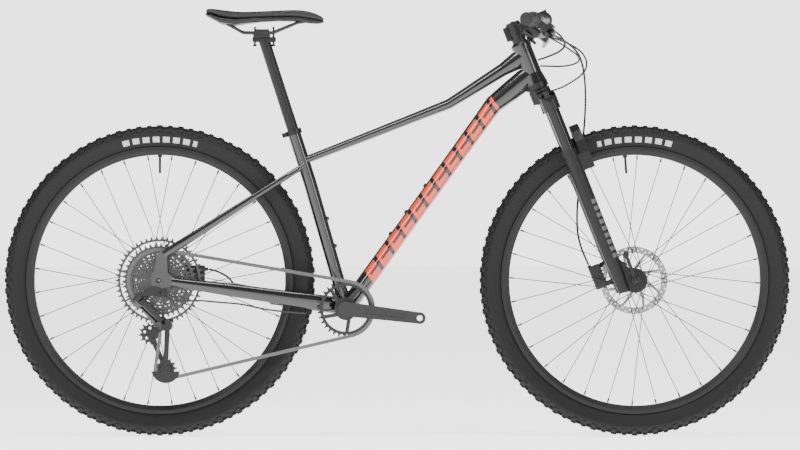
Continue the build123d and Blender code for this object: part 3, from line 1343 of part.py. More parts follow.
def cassette():
    """Twelve cogs and their spacers on the freehub, held by the lockring."""
    pieces = []
    for i, teeth in enumerate(COG_TEETH):
        plane_y = FIRST_COG_PLANE - COG_PITCH * i
        centre = REAR_AXLE + Vector(0, plane_y, 0)
        first = pin_angle(COG_CENTRE, COG_ARC) if i == COG_IN_USE else i * 7.0
        radius = pitch_radius(teeth)
        is_open = radius > OPEN_COG_RADIUS
        cog = sprocket(centre, teeth, COG_THICKNESS, first, radius - COG_RIM_DEPTH if is_open else FREEHUB_RADIUS)
        if is_open:
            cog = cog + disc(centre, COG_HUB_RADIUS, COG_THICKNESS, FREEHUB_RADIUS)
            count = 8 if radius > 80 else 6
            for k in range(count):
                turn = (k + 0.5 * (i % 2)) * 360 / count
                inner = around(centre, turn, COG_HUB_RADIUS - 2, 0)
                outer = around(centre, turn + COG_ARM_SWEEP, radius - COG_RIM_DEPTH + 1.5, 0)
                reach = outer - inner
                cog = cog + slab((inner + outer) * 0.5, (reach.length, COG_ARM_WIDTH, COG_THICKNESS), reach, Vector(0, 1, 0))
        pieces.append(cog.solids().sort_by(SortBy.VOLUME)[-1])
        if i:
            gap = COG_PITCH - COG_THICKNESS
            spacer = REAR_AXLE + Vector(0, plane_y + COG_PITCH / 2, 0)
            pieces.append(disc(spacer, FREEHUB_RADIUS + 1.9, gap, FREEHUB_RADIUS))
    last = FIRST_COG_PLANE - COG_PITCH * (len(COG_TEETH) - 1) - COG_THICKNESS / 2
    body_start = REAR_AXLE + Vector(0, FREEHUB_INNER, 0)
    body_end = REAR_AXLE + Vector(0, last, 0)
    pieces.append(rod(body_start, body_end, FREEHUB_RADIUS, AXLE_RADIUS + 0.3))
    lock_end = REAR_AXLE + Vector(0, last - 2.2, 0)
    pieces.append(rod(body_end, lock_end, FREEHUB_RADIUS + 1.2, 11.0))
    return pieces


def rear_axle():
    """The through axle with its head, and the end cap beside the freehub."""
    half = DROPOUT_INNER + DROPOUT_THICKNESS
    bar = rod(REAR_AXLE + Vector(0, -half - 2, 0), REAR_AXLE + Vector(0, half, 0), AXLE_RADIUS, 4.0)
    head = rod(REAR_AXLE + Vector(0, half, 0), REAR_AXLE + Vector(0, half + 5, 0), 9.5, 3.0)
    cap = rod(REAR_AXLE + Vector(0, -DROPOUT_INNER + 4.0, 0), REAR_AXLE + Vector(0, -DROPOUT_INNER, 0), 9.5, AXLE_RADIUS)
    return [bar + head, cap]


# ---- rear brake ----
REAR_CALIPER = Vector(REAR_AXLE.X + 80, REAR_ROTOR_PLANE + 1.5, REAR_AXLE.Z + 22)


def rear_caliper():
    """The rear caliper with its pads, standing on the left chainstay."""
    body = slab(REAR_CALIPER, (50, 33, 27), fillet_radius=4)
    slot = slab(REAR_CALIPER + Vector(-8, -1.5, 0), (64, 7, 30))
    centre = REAR_AXLE + Vector(0, REAR_ROTOR_PLANE, 0)
    body = body - disc(centre, REAR_ROTOR_RADIUS + 3, 7)
    slot = slab(Vector(REAR_AXLE.X + 68, REAR_ROTOR_PLANE, REAR_CALIPER.Z), (30, 7, 30))
    body = (body - slot).solids().sort_by(SortBy.VOLUME)[-1]
    pads = []
    for side in (-1, 1):
        pads.append(slab(Vector(REAR_AXLE.X + 68, REAR_ROTOR_PLANE + side * 2.2, REAR_CALIPER.Z), (24, 2.2, 15)))
    foot = slab(REAR_CALIPER + Vector(2, 12.5, -17), (44, 8, 12)) - chainstay(1) - body
    foot = foot.solids().sort_by(SortBy.VOLUME)[-1]
    fitting_start = REAR_CALIPER + Vector(24, 2, 4)
    fitting = rod(fitting_start, fitting_start + Vector(8, 0, 0), 4.2) - body
    return [body] + pads + [foot, solids_of(fitting)[0]]


# ---- rear derailleur ----
KNUCKLE_PIN = Vector(-600.0, -90.0, 318.0)
LINK_REACH = Vector(46.0, 10.0, -44.0)
SHIFT_WAY = Vector(0, 0.83, -0.56)
PIVOT_AXIS = LINK_REACH.cross(SHIFT_WAY).normalized()
LINK_FRAME = Plane(KNUCKLE_PIN, x_dir=LINK_REACH, z_dir=PIVOT_AXIS)
LINK_LENGTH = LINK_REACH.length
LINK_SPACING = 16.0
EYE_RADIUS = 5.0
EYE_HALF = 7.0
LUG_INNER = EYE_HALF + RUNNING_GAP
LUG_OUTER = 10.5
HINGE_PIN_RADIUS = 2.0


def link_point(along, aside, up=0.0):
    return LINK_FRAME.from_local_coords(Vector(along, aside, up))


def link_rod(along, aside, half, radius, bore=0.0):
    return rod(link_point(along, aside, -half), link_point(along, aside, half), radius, bore)


def link_block(centre, size):
    return slab(link_point(*centre), size, LINK_FRAME.x_dir, LINK_FRAME.z_dir)


def link_plate_cut(outline, low, high):
    face = (LINK_FRAME * Pos(0, 0, low)) * make_face(Polyline(*outline, close=True))
    return extrude(face, high - low).solid()


def derailleur_link(aside, half_width, thickness):
    """A link with an eye at each end for its hinge pins."""
    arm = link_block((LINK_LENGTH / 2, aside, 0), (LINK_LENGTH - 4, thickness, 2 * half_width))
    link = arm
    for along in (0, LINK_LENGTH):
        link = link + link_rod(along, aside, EYE_HALF, EYE_RADIUS)
    for along in (0, LINK_LENGTH):
        link = link - link_rod(along, aside, EYE_HALF + 4, HINGE_PIN_RADIUS + 0.15)
    return link.solids().sort_by(SortBy.VOLUME)[-1]


def knuckle_lugs(toward):
    """The two lug plates and web of a knuckle; toward is 1 past the links' far end."""
    base = LINK_LENGTH if toward > 0 else 0.0

    def at(along, aside):
        return (base + toward * along, aside)

    outline = [at(-5.5, -6), at(-5.5, LINK_SPACING + 6), at(16, LINK_SPACING + 5), at(18, -5)]
    lugs = link_plate_cut(outline, LUG_INNER, LUG_OUTER) + link_plate_cut(outline, -LUG_OUTER, -LUG_INNER)
    web = link_block((base + toward * 13.5, LINK_SPACING / 2, 0), (9, LINK_SPACING + 10, 2 * LUG_OUTER))
    pins = [link_rod(base, aside, LUG_OUTER, HINGE_PIN_RADIUS) for aside in (0, LINK_SPACING)]
    return lugs + web, pins


def b_knuckle():
    """The knuckle that hangs on the dropout's hanger and carries the links' upper pins."""
    bolt_from = HANGER_BOLT + Vector(0, -DROPOUT_INNER + 1, 0)
    bolt_to = HANGER_BOLT + Vector(0, -DROPOUT_INNER - DROPOUT_THICKNESS - 16, 0)
    lugs, pins = knuckle_lugs(-1)
    face = -DROPOUT_INNER - DROPOUT_THICKNESS - RUNNING_GAP
    x, z = HANGER_BOLT.X, HANGER_BOLT.Z
    outline = [
        (x + 9, z + 8),
        (x - 14, z + 15),
        (x - 57, z - 6),
        (x - 66, z - 18),
        (x - 60, z - 24),
        (x - 47, z - 9),
        (x - 10, z - 7),
        (x + 4, z - 10),
    ]
    arm = plate(outline, face - 14, face)
    boss = rod(HANGER_BOLT + Vector(0, face, 0), HANGER_BOLT + Vector(0, face - 14, 0), 11)
    room = link_plate_cut([(-9, -8), (-9, LINK_SPACING + 8), (40, LINK_SPACING + 14), (40, -14)], -LUG_INNER, LUG_INNER)
    body = (arm + boss + lugs) - room
    for pin in pins:
        body = body - pin
    body = body - rod(bolt_from, bolt_to, 5.0)
    bolt = rod(bolt_from, bolt_to, 5.0, 2.5)
    return [body.solids().sort_by(SortBy.VOLUME)[-1], bolt] + pins


CAGE_CENTRE = Vector(CAGE_PIVOT[0], 0, CAGE_PIVOT[1])
CAGE_HALF = 3.75
CAGE_PLATE = 1.6
KNUCKLE_INNER = COG_PLANE - CAGE_HALF - CAGE_PLATE - 3.5
KNUCKLE_OUTER = -86.0


def p_knuckle():
    """The lower knuckle: a barrel round the cage spring and lugs for the links' lower pins."""
    lugs, pins = knuckle_lugs(1)
    barrel = rod(CAGE_CENTRE + Vector(0, KNUCKLE_OUTER, 0), CAGE_CENTRE + Vector(0, KNUCKLE_INNER, 0), 13.5)
    reach = LINK_LENGTH
    corner = [(reach + 9, -8), (reach + 9, LINK_SPACING + 8), (reach - 40, LINK_SPACING + 14), (reach - 40, -14)]
    room = link_plate_cut(corner, -LUG_INNER, LUG_INNER)
    body = (barrel - room) + lugs
    for pin in pins:
        body = body - pin
    body = body - rod(CAGE_CENTRE + Vector(0, KNUCKLE_OUTER + 6, 0), CAGE_CENTRE + Vector(0, KNUCKLE_INNER + 1, 0), 6.3)
    return [body.solids().sort_by(SortBy.VOLUME)[-1]] + pins


def at_plane(point, y):
    return Vector(point[0], y, point[1])


def cage():
    """Two plates joined by the pulley bolts, on a shaft that turns in the lower knuckle."""
    guide, tension = GUIDE_CENTRE, TENSION_CENTRE
    outer_y = COG_PLANE - CAGE_HALF - CAGE_PLATE / 2
    inner_y = COG_PLANE + CAGE_HALF + CAGE_PLATE / 2

    def strut(one, two, y, width):
        start, end = at_plane(one, y), at_plane(two, y)
        reach = end - start
        return slab((start + end) * 0.5, (reach.length, width, CAGE_PLATE), reach, Vector(0, 1, 0))

    def eye(point, y, radius):
        return disc(at_plane(point, y), radius, CAGE_PLATE)

    outer = strut(guide, CAGE_PIVOT, outer_y, 15) + strut(CAGE_PIVOT, tension, outer_y, 12)
    outer = outer + eye(guide, outer_y, 10) + eye(CAGE_PIVOT, outer_y, 14) + eye(tension, outer_y, 12)
    guard = eye(tension, outer_y, 34) - slab(at_plane((tension[0], tension[1] + 24), outer_y), (90, 9, 60))
    outer = outer + guard
    inner = strut(guide, tension, inner_y, 12) + eye(guide, inner_y, 10) + eye(tension, inner_y, 20)
    bolts = []
    for point in (guide, tension):
        start = at_plane(point, outer_y - CAGE_PLATE / 2 - 1.0)
        end = at_plane(point, inner_y + CAGE_PLATE / 2)
        bolt = rod(start, end, BOLT_RADIUS)
        outer = outer - bolt
        inner = inner - bolt
        bolts.append(bolt)
    shaft_start = at_plane(CAGE_PIVOT, outer_y - CAGE_PLATE / 2)
    shaft = rod(shaft_start, at_plane(CAGE_PIVOT, KNUCKLE_INNER - 24), 6.0)
    collar = rod(shaft_start, at_plane(CAGE_PIVOT, KNUCKLE_INNER + RUNNING_GAP), 9.0)
    outer_solid = outer.solids().sort_by(SortBy.VOLUME)[-1]
    return [outer_solid, inner.solids().sort_by(SortBy.VOLUME)[-1], shaft + collar] + bolts


def pulley(point, piece_index):
    """A toothed pulley with a bushed hub that turns on its bolt."""
    centre = at_plane(point, COG_PLANE)
    bore = BOLT_RADIUS + 0.15
    wheel = sprocket(centre, PULLEY_TEETH, 2.0, pin_angle(point, piece_index), bore, 2.2)
    for k in range(5):
        wheel = wheel - disc(around(centre, k * 72, 13, 0), 3.2, 4)
    return wheel + disc(centre, 6.5, 2 * (CAGE_HALF - 0.2), bore)


# ---- cables, hoses and small fittings ----
HOSE_RADIUS = 2.5
HOUSING_RADIUS = 2.2


def control_cables():
    """The rear brake hose and the shift housing to the head tube, and the lockout cable to the fork."""
    rear_hose = [
        tuple(control_point(-87, 33)),
        (371, -96, 953),
        (388, -72, 941),
        (398, -45, 923),
        (385, -24, 909),
        (364, -15, 900),
        (348, -11, 894),
        tuple(steer(65, HEAD_TUBE_RADIUS + 1.6, -8)),
    ]
    shift_housing = [
        tuple(control_point(-67, 13, -25)),
        (338, -116, 947),
        (360, -89, 938),
        (385, -63, 926),
        (408, -40, 912),
        (429, -19, 898),
        (431, 0, 885),
        (411, 8, 877),
        (384, 6, 874),
        (358, 2, 875),
        tuple(steer(50, HEAD_TUBE_RADIUS + 1.2, -1)),
    ]
    lockout_cable = [
        tuple(flipped(control_point(-43.2, 8.4, -18))),
        (337, 138, 957),
        (358, 113, 951),
        (384, 87, 941),
        (411, 61, 929),
        (436, 36, 912),
        (449, 9, 890),
        (447, -13, 867),
        (431, -31, 849),
        (408, -46, 834),
        (383, -57, 820),
        tuple(steer(-15, LEG_AXIS + 9.4, -LEG_Y)),
    ]
    return [cable(rear_hose, HOSE_RADIUS), cable(shift_housing, HOUSING_RADIUS), cable(lockout_cable, HOUSING_RADIUS)]


def front_brake_hose():
    """The hose from the left lever, in front of the fork and round the left leg to the caliper."""
    route = [
        tuple(flipped(control_point(-87, 33))),
        (370, 94, 953),
        (388, 69, 943),
        (410, 44, 928),
        (430, 25, 906),
        (440, 16, 876),
        (445, 18, 840),
        (447, 32, 800),
        (446, 50, 756),
        (443, 68, 712),
        (440, 82, 668),
        (436, 89, 620),
        (431, 90, 570),
        (428, 87, 522),
        (429, 79, 480),
        (436, 64, 449),
        (444, 54, 427),
        tuple(steer(-431, -40, CALIPER_Y + 10)),
    ]
    return cable(route, HOSE_RADIUS)


def frame_fittings():
    """Bottle bolts, the cable port's cover, and the hose and housing along the rear of the frame."""
    rise = (DOWN_TUBE_BEND - SHELL).normalized()
    above = Vector(-rise.Z, 0, rise.X)
    pieces = []
    for along in (205, 268, 345):
        foot = SHELL + rise * along + above * 18.8
        bolt = rod(foot, foot + above * 2.4, 5.6) + rod(foot + above * 2.4, foot + above * 4.4, 3.8)
        pieces.append(solids_of(bolt - down_tube_solid)[0])
    ahead = Vector(SEAT_UP_LOWER.Z, 0, -SEAT_UP_LOWER.X)
    for along in (150, 217):
        foot = SHELL + SEAT_UP_LOWER * along + ahead * (SEAT_TUBE_RADIUS + 0.1)
        pieces.append(rod(foot, foot + ahead * 2.2, 5.2) + rod(foot + ahead * 2.2, foot + ahead * 4.4, 3.8))
    rear_hose = [(-391, 61, 361.6), (-399, 61, 372), (-413, 60, 382), (-431, 59, 390), (-448.4, 57, 394)]
    rear_housing = [
        (-215, -43, 291),
        (-258, -47, 294),
        (-312, -53, 300),
        (-366, -58, 313),
        (-420, -65, 317),
        (-470, -75, 322),
        (-505, -83, 319),
        (-530, -87, 321),
        (-547.9, -87.3, 332.1),
    ]
    pieces.append(cable(rear_hose, HOSE_RADIUS))
    pieces.append(cable(rear_housing, HOUSING_RADIUS))
    return pieces


top_tube_solid = top_tube()
down_tube_solid = down_tube()
write("head_tube", head_tube())
write("top_tube", top_tube_solid)
write("down_tube", down_tube_solid)
write("seat_tube", seat_tube())
write("bottom_bracket_shell", bottom_bracket_shell())
write("chainstays", chainstay(-1), chainstay(1))
write("seatstays", seatstay(-1), seatstay(1))
write("dropouts", dropout(-1), dropout(1))
write("seat_collar", seat_collar())
write("seatpost", seatpost())
write("saddle_rails", saddle_rails())
saddle_cover = saddle_layer(0.42, 1.0, 0.0, RUNNING_GAP)
saddle_shell = saddle_layer(0.0, 0.42, 2.5, 0.0)
write("saddle_shell", saddle_shell - Compound(children=saddle_rails()))
write("saddle_cover", saddle_cover)
write("headset_cups", headset_cups())
write("headset_spacers", headset_spacers())
write("fork_crown", fork_crown())
write("stanchions", stanchions())
write("fork_lowers", fork_lowers())
write("front_caliper", front_caliper())
write("stem", stem())
write("handlebar", handlebar())
write("grips", grip(), mirrored(grip()))
write("lever_bodies", lever_body(), [mirrored(piece) for piece in lever_body()])
write("brake_lever_right", brake_lever())
write("brake_lever_left", mirrored(brake_lever()))
write("shifter_body", shifter_body())
write("shift_thumb_lever", shift_thumb_lever())
write("shift_release_lever", shift_release_lever())
write("lockout_remote", lockout_remote())
write("lockout_lever", lockout_lever())
write("front_axle", front_axle())
write("axle_lever", axle_lever())
for name, axle, turn, flanges, flange_radius, rotor_plane, rotor_radius in (
    ("front", FRONT_AXLE, FRONT_WHEEL_TURN, FRONT_FLANGES, FRONT_FLANGE_RADIUS, FRONT_ROTOR_PLANE, FRONT_ROTOR_RADIUS),
    ("rear", REAR_AXLE, REAR_WHEEL_TURN, REAR_FLANGES, REAR_FLANGE_RADIUS, REAR_ROTOR_PLANE, REAR_ROTOR_RADIUS),
):
    write(name + "_tyre", tyre(axle))
    write(name + "_rim", rim(axle), valve(axle, turn))
    write(name + "_spokes", wheel_spokes(axle, turn, flanges, flange_radius))
    write(name + "_rotor", rotor(axle, rotor_plane, rotor_radius))
write("front_hub", front_hub())
write("rear_hub", rear_hub())
write("crank_arm_right", crank_arm(-1, -CRANK_OUTER_FACE, RIGHT_HUB_FACE))
write("crank_arm_left", crank_arm(1, LEFT_ARM_FACE, LEFT_HUB_FACE), crank_spindle())
write("chainring", chainring())
write("bottom_bracket_cups", bottom_bracket_cups())
write("cassette", cassette())
write("rear_axle", rear_axle())
write("rear_caliper", rear_caliper())
write("chain", chain())
write("b_knuckle", b_knuckle())
write("derailleur_link_outer", derailleur_link(0.0, 6.5, 4.6))
write("derailleur_link_inner", derailleur_link(LINK_SPACING, 5.5, 4.0))
write("p_knuckle", p_knuckle())
write("cage", cage())
write("guide_pulley", pulley(GUIDE_CENTRE, GUIDE_ARC))
write("tension_pulley", pulley(TENSION_CENTRE, TENSION_ARC))
write("control_cables", control_cables())
write("front_brake_hose", front_brake_hose())
write("frame_fittings", frame_fittings())
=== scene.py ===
import math

import bpy
import numpy as np
from mathutils import Matrix, Vector


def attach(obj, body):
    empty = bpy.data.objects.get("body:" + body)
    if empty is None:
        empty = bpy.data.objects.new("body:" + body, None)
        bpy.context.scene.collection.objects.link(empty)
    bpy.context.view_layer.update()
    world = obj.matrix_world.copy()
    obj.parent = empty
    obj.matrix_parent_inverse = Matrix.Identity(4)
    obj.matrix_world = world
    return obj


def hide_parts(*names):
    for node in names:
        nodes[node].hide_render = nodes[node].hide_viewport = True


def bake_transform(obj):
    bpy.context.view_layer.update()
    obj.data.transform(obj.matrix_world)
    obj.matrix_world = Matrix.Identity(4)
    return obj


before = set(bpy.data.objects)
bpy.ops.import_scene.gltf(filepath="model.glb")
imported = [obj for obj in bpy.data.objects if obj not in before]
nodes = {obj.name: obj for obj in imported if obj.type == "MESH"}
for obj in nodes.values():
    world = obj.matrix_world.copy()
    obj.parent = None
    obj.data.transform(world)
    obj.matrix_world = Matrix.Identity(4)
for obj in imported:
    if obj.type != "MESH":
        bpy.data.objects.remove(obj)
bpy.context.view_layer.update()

# ---- camera ----
# A long lens on the bike's right, level with its middle, so that the wheels look round
# and the bar is seen end on.
camera_data = bpy.data.cameras.new("side_view")
camera_data.sensor_width = 36
camera_data.lens = 228.2
camera_data.clip_end = 60
camera = bpy.data.objects.new("side_view", camera_data)
camera.location = (0.0065, -12.0, 0.499)
camera.rotation_euler = (math.pi / 2, 0, 0)
bpy.context.scene.collection.objects.link(camera)
bpy.context.scene.camera = camera

# ---- studio ----
# A round white floor in a white room whose ceiling is dimmer, with a few large soft lamps
# overhead and in front.
FLOOR_RADIUS = 60.0
FLOOR_SIDES = 96
PAPER = (0.86, 0.86, 0.86)
FLOOR_GLOW = 2.3
WALL_GLOW = 3.0
WALL_TOP = 0.08
CEILING_START = 0.2
CEILING_GLOW = 0.25


def mesh_piece(name, points, faces, smooth=True):
    mesh = bpy.data.meshes.new(name)
    mesh.from_pydata([tuple(point) for point in points], [], [tuple(face) for face in faces])
    mesh.polygons.foreach_set("use_smooth", [smooth] * len(mesh.polygons))
    mesh.update()
    piece = bpy.data.objects.new(name, mesh)
    bpy.context.scene.collection.objects.link(piece)
    return piece


RELIEF_DEPTH = 0.0006


def finish(name, dark, light, rough, grain, metal=0.0, bump=0.0, coat=0.0, coat_rough=0.05, shine=0.35):
    """A surface whose tone and gloss vary a little over a fine grain, given in grains per metre."""
    material = bpy.data.materials.new(name)
    material.use_nodes = True
    tree = material.node_tree
    shader = tree.nodes["Principled BSDF"]
    place = tree.nodes.new("ShaderNodeTexCoord")
    noise = tree.nodes.new("ShaderNodeTexNoise")
    noise.inputs["Scale"].default_value = grain
    noise.inputs["Detail"].default_value = 4
    tone = tree.nodes.new("ShaderNodeValToRGB")
    tone.color_ramp.elements[0].position = 0.3
    tone.color_ramp.elements[0].color = (*dark, 1)
    tone.color_ramp.elements[1].position = 0.7
    tone.color_ramp.elements[1].color = (*light, 1)
    gloss = tree.nodes.new("ShaderNodeMapRange")
    gloss.inputs["To Min"].default_value = rough[0]
    gloss.inputs["To Max"].default_value = rough[1]
    tree.links.new(place.outputs["Object"], noise.inputs["Vector"])
    tree.links.new(noise.outputs["Fac"], tone.inputs["Fac"])
    tree.links.new(noise.outputs["Fac"], gloss.inputs["Value"])
    tree.links.new(tone.outputs["Color"], shader.inputs["Base Color"])
    tree.links.new(gloss.outputs["Result"], shader.inputs["Roughness"])
    if bump:
        relief = tree.nodes.new("ShaderNodeBump")
        relief.inputs["Strength"].default_value = bump
        relief.inputs["Distance"].default_value = RELIEF_DEPTH
        tree.links.new(noise.outputs["Fac"], relief.inputs["Height"])
        tree.links.new(relief.outputs["Normal"], shader.inputs["Normal"])
    shader.inputs["Metallic"].default_value = metal
    shader.inputs["Specular IOR Level"].default_value = shine
    shader.inputs["Coat Weight"].default_value = coat
    shader.inputs["Coat Roughness"].default_value = coat_rough
    return material


def dress(material, *names):
    """Gives CAD pieces their finish."""
    for name in names:
        mesh = nodes[name].data
        mesh.materials.clear()
        mesh.materials.append(material)


floor_turns = [2 * math.pi * side / FLOOR_SIDES for side in range(FLOOR_SIDES)]
floor_edge = [(FLOOR_RADIUS * math.cos(turn), FLOOR_RADIUS * math.sin(turn), 0) for turn in floor_turns]
floor = mesh_piece("white_floor", floor_edge, [range(FLOOR_SIDES)], smooth=False)
paper = finish("white_paper", PAPER, (0.88, 0.88, 0.88), (0.8, 0.9), 3.0)
paper_shader = paper.node_tree.nodes["Principled BSDF"]
paper_shader.inputs["Emission Color"].default_value = (1, 1, 1, 1)
paper_shader.inputs["Emission Strength"].default_value = FLOOR_GLOW
floor.data.materials.append(paper)


def soft_lamp(name, place, aim, size, power):
    lamp_data = bpy.data.lights.new(name, "AREA")
    lamp_data.shape = "RECTANGLE"
    lamp_data.size, lamp_data.size_y = size
    lamp_data.energy = power
    lamp = bpy.data.objects.new(name, lamp_data)
    lamp.location = place
    lamp.rotation_euler = (Vector(aim) - Vector(place)).to_track_quat("-Z", "Y").to_euler()
    bpy.context.scene.collection.objects.link(lamp)


soft_lamp("overhead", (0, -1.0, 4.0), (0, 0, 0.5), (4.0, 0.9), 170)
soft_lamp("front_left", (-4.5, -5.0, 4.2), (0, 0, 0.5), (2.0, 2.4), 150)
soft_lamp("front_right", (4.8, -4.5, 3.0), (0, 0, 0.5), (1.6, 2.4), 100)

room = bpy.data.worlds.new("pale_room")
room.use_nodes = True
room_tree = room.node_tree
room_glow = room_tree.nodes["Background"]
room_glow.inputs["Color"].default_value = (1, 1, 1, 1)
room_way = room_tree.nodes.new("ShaderNodeTexCoord")
room_height = room_tree.nodes.new("ShaderNodeSeparateXYZ")
room_fade = room_tree.nodes.new("ShaderNodeMapRange")
room_fade.inputs["From Min"].default_value = WALL_TOP
room_fade.inputs["From Max"].default_value = CEILING_START
room_fade.inputs["To Min"].default_value = WALL_GLOW
room_fade.inputs["To Max"].default_value = CEILING_GLOW
room_tree.links.new(room_way.outputs["Generated"], room_height.inputs[0])
room_tree.links.new(room_height.outputs["Z"], room_fade.inputs["Value"])
room_tree.links.new(room_fade.outputs[0], room_glow.inputs["Strength"])
bpy.context.scene.world = room

# ---- tyres ----
# Tubeless 29 inch tyres: a rubber casing with a fine line low on the sidewall, and small stepped blocks
# moulded in staggered rows round the crown. The casing is turned, and the blocks are set round it.
FRONT_AXLE = Vector((0.5615, 0, 0.368))
REAR_AXLE = Vector((-0.5615, 0, 0.368))
TYRE_RADIUS = 0.368
CASING_THICKNESS = 0.0032
BEAD_HALF_WIDTH = 0.0131
BEAD_RADIUS = 0.3162
TREAD_ARC_CENTRE = 0.33715
TREAD_ARC_RADIUS = TYRE_RADIUS - TREAD_ARC_CENTRE
BLOCK_HEIGHT = 0.0034
TREAD_STEPS = 46
TURN_STEPS = 184
STEP_ANGLE = 2 * math.pi / TREAD_STEPS
SHOULDER_LEAN = math.radians(52)
CROWN_POINTS = 12
WALL_POINTS = 16
SIDEWALL_BULGE = 0.0082
RIDGE_HEIGHT = 0.0007
RIDGE_POINTS = (3, 4, 12)
MARK_GREY = (0.5, 0.5, 0.49, 1)
MARK_INNER_RADIUS = 0.3265
MARK_OUTER_RADIUS = 0.3395
MARK_HALF_ARC = 0.27
MARK_PITCH = 0.072
MARK_SHARE = 0.66

tyre_rubber = finish(
    "tyre_rubber", (0.006, 0.006, 0.006), (0.012, 0.012, 0.012), (0.52, 0.7), 900, bump=0.2, shine=0.22
)


def maths(tree, operation, first, second=None):
    node = tree.nodes.new("ShaderNodeMath")
    node.operation = operation
    for socket, value in zip(node.inputs, (first, second)):
        if value is None:
            continue
        if isinstance(value, (int, float)):
            socket.default_value = value
        else:
            tree.links.new(value, socket)
    return node.outputs[0]


def distance_along(tree, start, way):
    """How far a point of the surface lies from start along a direction."""
    place = tree.nodes.new("ShaderNodeTexCoord")
    offset = tree.nodes.new("ShaderNodeVectorMath")
    offset.operation = "SUBTRACT"
    offset.inputs[1].default_value = start
    share = tree.nodes.new("ShaderNodeVectorMath")
    share.operation = "DOT_PRODUCT"
    share.inputs[1].default_value = way
    tree.links.new(place.outputs["Object"], offset.inputs[0])
    tree.links.new(offset.outputs[0], share.inputs[0])
    return share.outputs["Value"]


def print_over(material, mask, colour):
    """Lays a printed colour over a finish where the mask is one."""
    tree = material.node_tree
    shader = tree.nodes["Principled BSDF"]
    under = shader.inputs["Base Color"].links[0].from_socket
    mix = tree.nodes.new("ShaderNodeMix")
    mix.data_type = "RGBA"
    mix.inputs[7].default_value = colour
    tree.links.new(mask, mix.inputs[0])
    tree.links.new(under, mix.inputs[6])
    tree.links.new(mix.outputs[2], shader.inputs["Base Color"])


def blocks_in_row(tree, place, pitch, share):
    """One within each block of an evenly spaced row, and nought in the gaps."""
    return maths(tree, "LESS_THAN", maths(tree, "FRACT", maths(tree, "DIVIDE", place, pitch)), share)


def within(tree, value, low, high):
    above = maths(tree, "GREATER_THAN", value, low)
    below = maths(tree, "LESS_THAN", value, high)
    return maths(tree, "MULTIPLY", above, below)


def all_of(tree, *masks):
    """One where every mask is one."""
    both = masks[0]
    for mask in masks[1:]:
        both = maths(tree, "MULTIPLY", both, mask)
    return both


rubber_tree = tyre_rubber.node_tree
place_ahead = distance_along(rubber_tree, Vector((0, 0, 0)), Vector((1, 0, 0)))
place_up = distance_along(rubber_tree, Vector((0, 0, FRONT_AXLE.z)), Vector((0, 0, 1)))
from_axle = maths(rubber_tree, "SUBTRACT", maths(rubber_tree, "ABSOLUTE", place_ahead), FRONT_AXLE.x)
ahead_squared = maths(rubber_tree, "MULTIPLY", from_axle, from_axle)
up_squared = maths(rubber_tree, "MULTIPLY", place_up, place_up)
mark_radius = maths(rubber_tree, "SQRT", maths(rubber_tree, "ADD", ahead_squared, up_squared))
mark_angle = maths(rubber_tree, "ARCTAN2", from_axle, place_up)
marks = all_of(
    rubber_tree,
    blocks_in_row(rubber_tree, mark_angle, MARK_PITCH, MARK_SHARE),
    maths(rubber_tree, "LESS_THAN", maths(rubber_tree, "ABSOLUTE", mark_angle), MARK_HALF_ARC),
    within(rubber_tree, mark_radius, MARK_INNER_RADIUS, MARK_OUTER_RADIUS),
)
print_over(tyre_rubber, marks, MARK_GREY)


def casing_profile():
    """Half-width and radius round the casing, out over the crown and back along the inside."""
    crown_arc = TREAD_ARC_RADIUS - BLOCK_HEIGHT
    leans = np.linspace(0, SHOULDER_LEAN, CROWN_POINTS)
    crown = [(crown_arc * math.sin(lean), TREAD_ARC_CENTRE + crown_arc * math.cos(lean)) for lean in leans]
    shoulder_width, shoulder_radius = crown[-1]
    wall = []
    for share in np.linspace(0.1, 1, WALL_POINTS):
        radius = shoulder_radius + (BEAD_RADIUS - shoulder_radius) * share
        bulge = SIDEWALL_BULGE * math.sin(math.pi * (0.18 + 0.82 * share) ** 0.8)
        width = BEAD_HALF_WIDTH + (shoulder_width - BEAD_HALF_WIDTH) * (1 - share) + bulge
        is_ridge = round(share * (WALL_POINTS - 1)) in RIDGE_POINTS
        wall.append((width + (RIDGE_HEIGHT if is_ridge else 0.0), radius))
    outer = crown + wall
    inner = [(max(width - CASING_THICKNESS, 0.0), radius - 0.001) for width, radius in outer]
    inner[0] = (0.0, outer[0][1] - CASING_THICKNESS)
    far_outer = [(-width, radius) for width, radius in outer[1:]]
    far_inner = [(-width, radius) for width, radius in inner[1:]]
    return outer[::-1] + far_outer + far_inner[::-1] + inner


def turned(name, axle, profile, steps):
    """A closed profile of half-width and radius, turned about an axle that lies across the bike."""
    count = len(profile)
    points = []
    for step in range(steps):
        angle = 2 * math.pi * step / steps
        for across, radius in profile:
            points.append(axle + Vector((radius * math.sin(angle), across, radius * math.cos(angle))))
    faces = []
    for step in range(steps):
        ahead = (step + 1) % steps
        for i in range(count):
            j = (i + 1) % count
            faces.append((step * count + i, step * count + j, ahead * count + j, ahead * count + i))
    return mesh_piece(name, points, faces)


# Each block's place along the step, lean from the crown in degrees, length, width and extra height.
TREAD_BLOCKS = (
    (0.0, 9, 0.0150, 0.0075, 0.0),
    (0.5, 17, 0.0120, 0.0075, 0.0),
    (0.26, 33, 0.0105, 0.0060, 0.0004),
    (0.78, 31, 0.0125, 0.0055, 0.0004),
    (0.02, 53, 0.0135, 0.0085, 0.0006),
    (0.52, 56, 0.0115, 0.0075, 0.0006),
)
BLOCK_ROOT = 0.0008
BLOCK_DROP = 0.0004
BLOCK_TAPER = 0.8


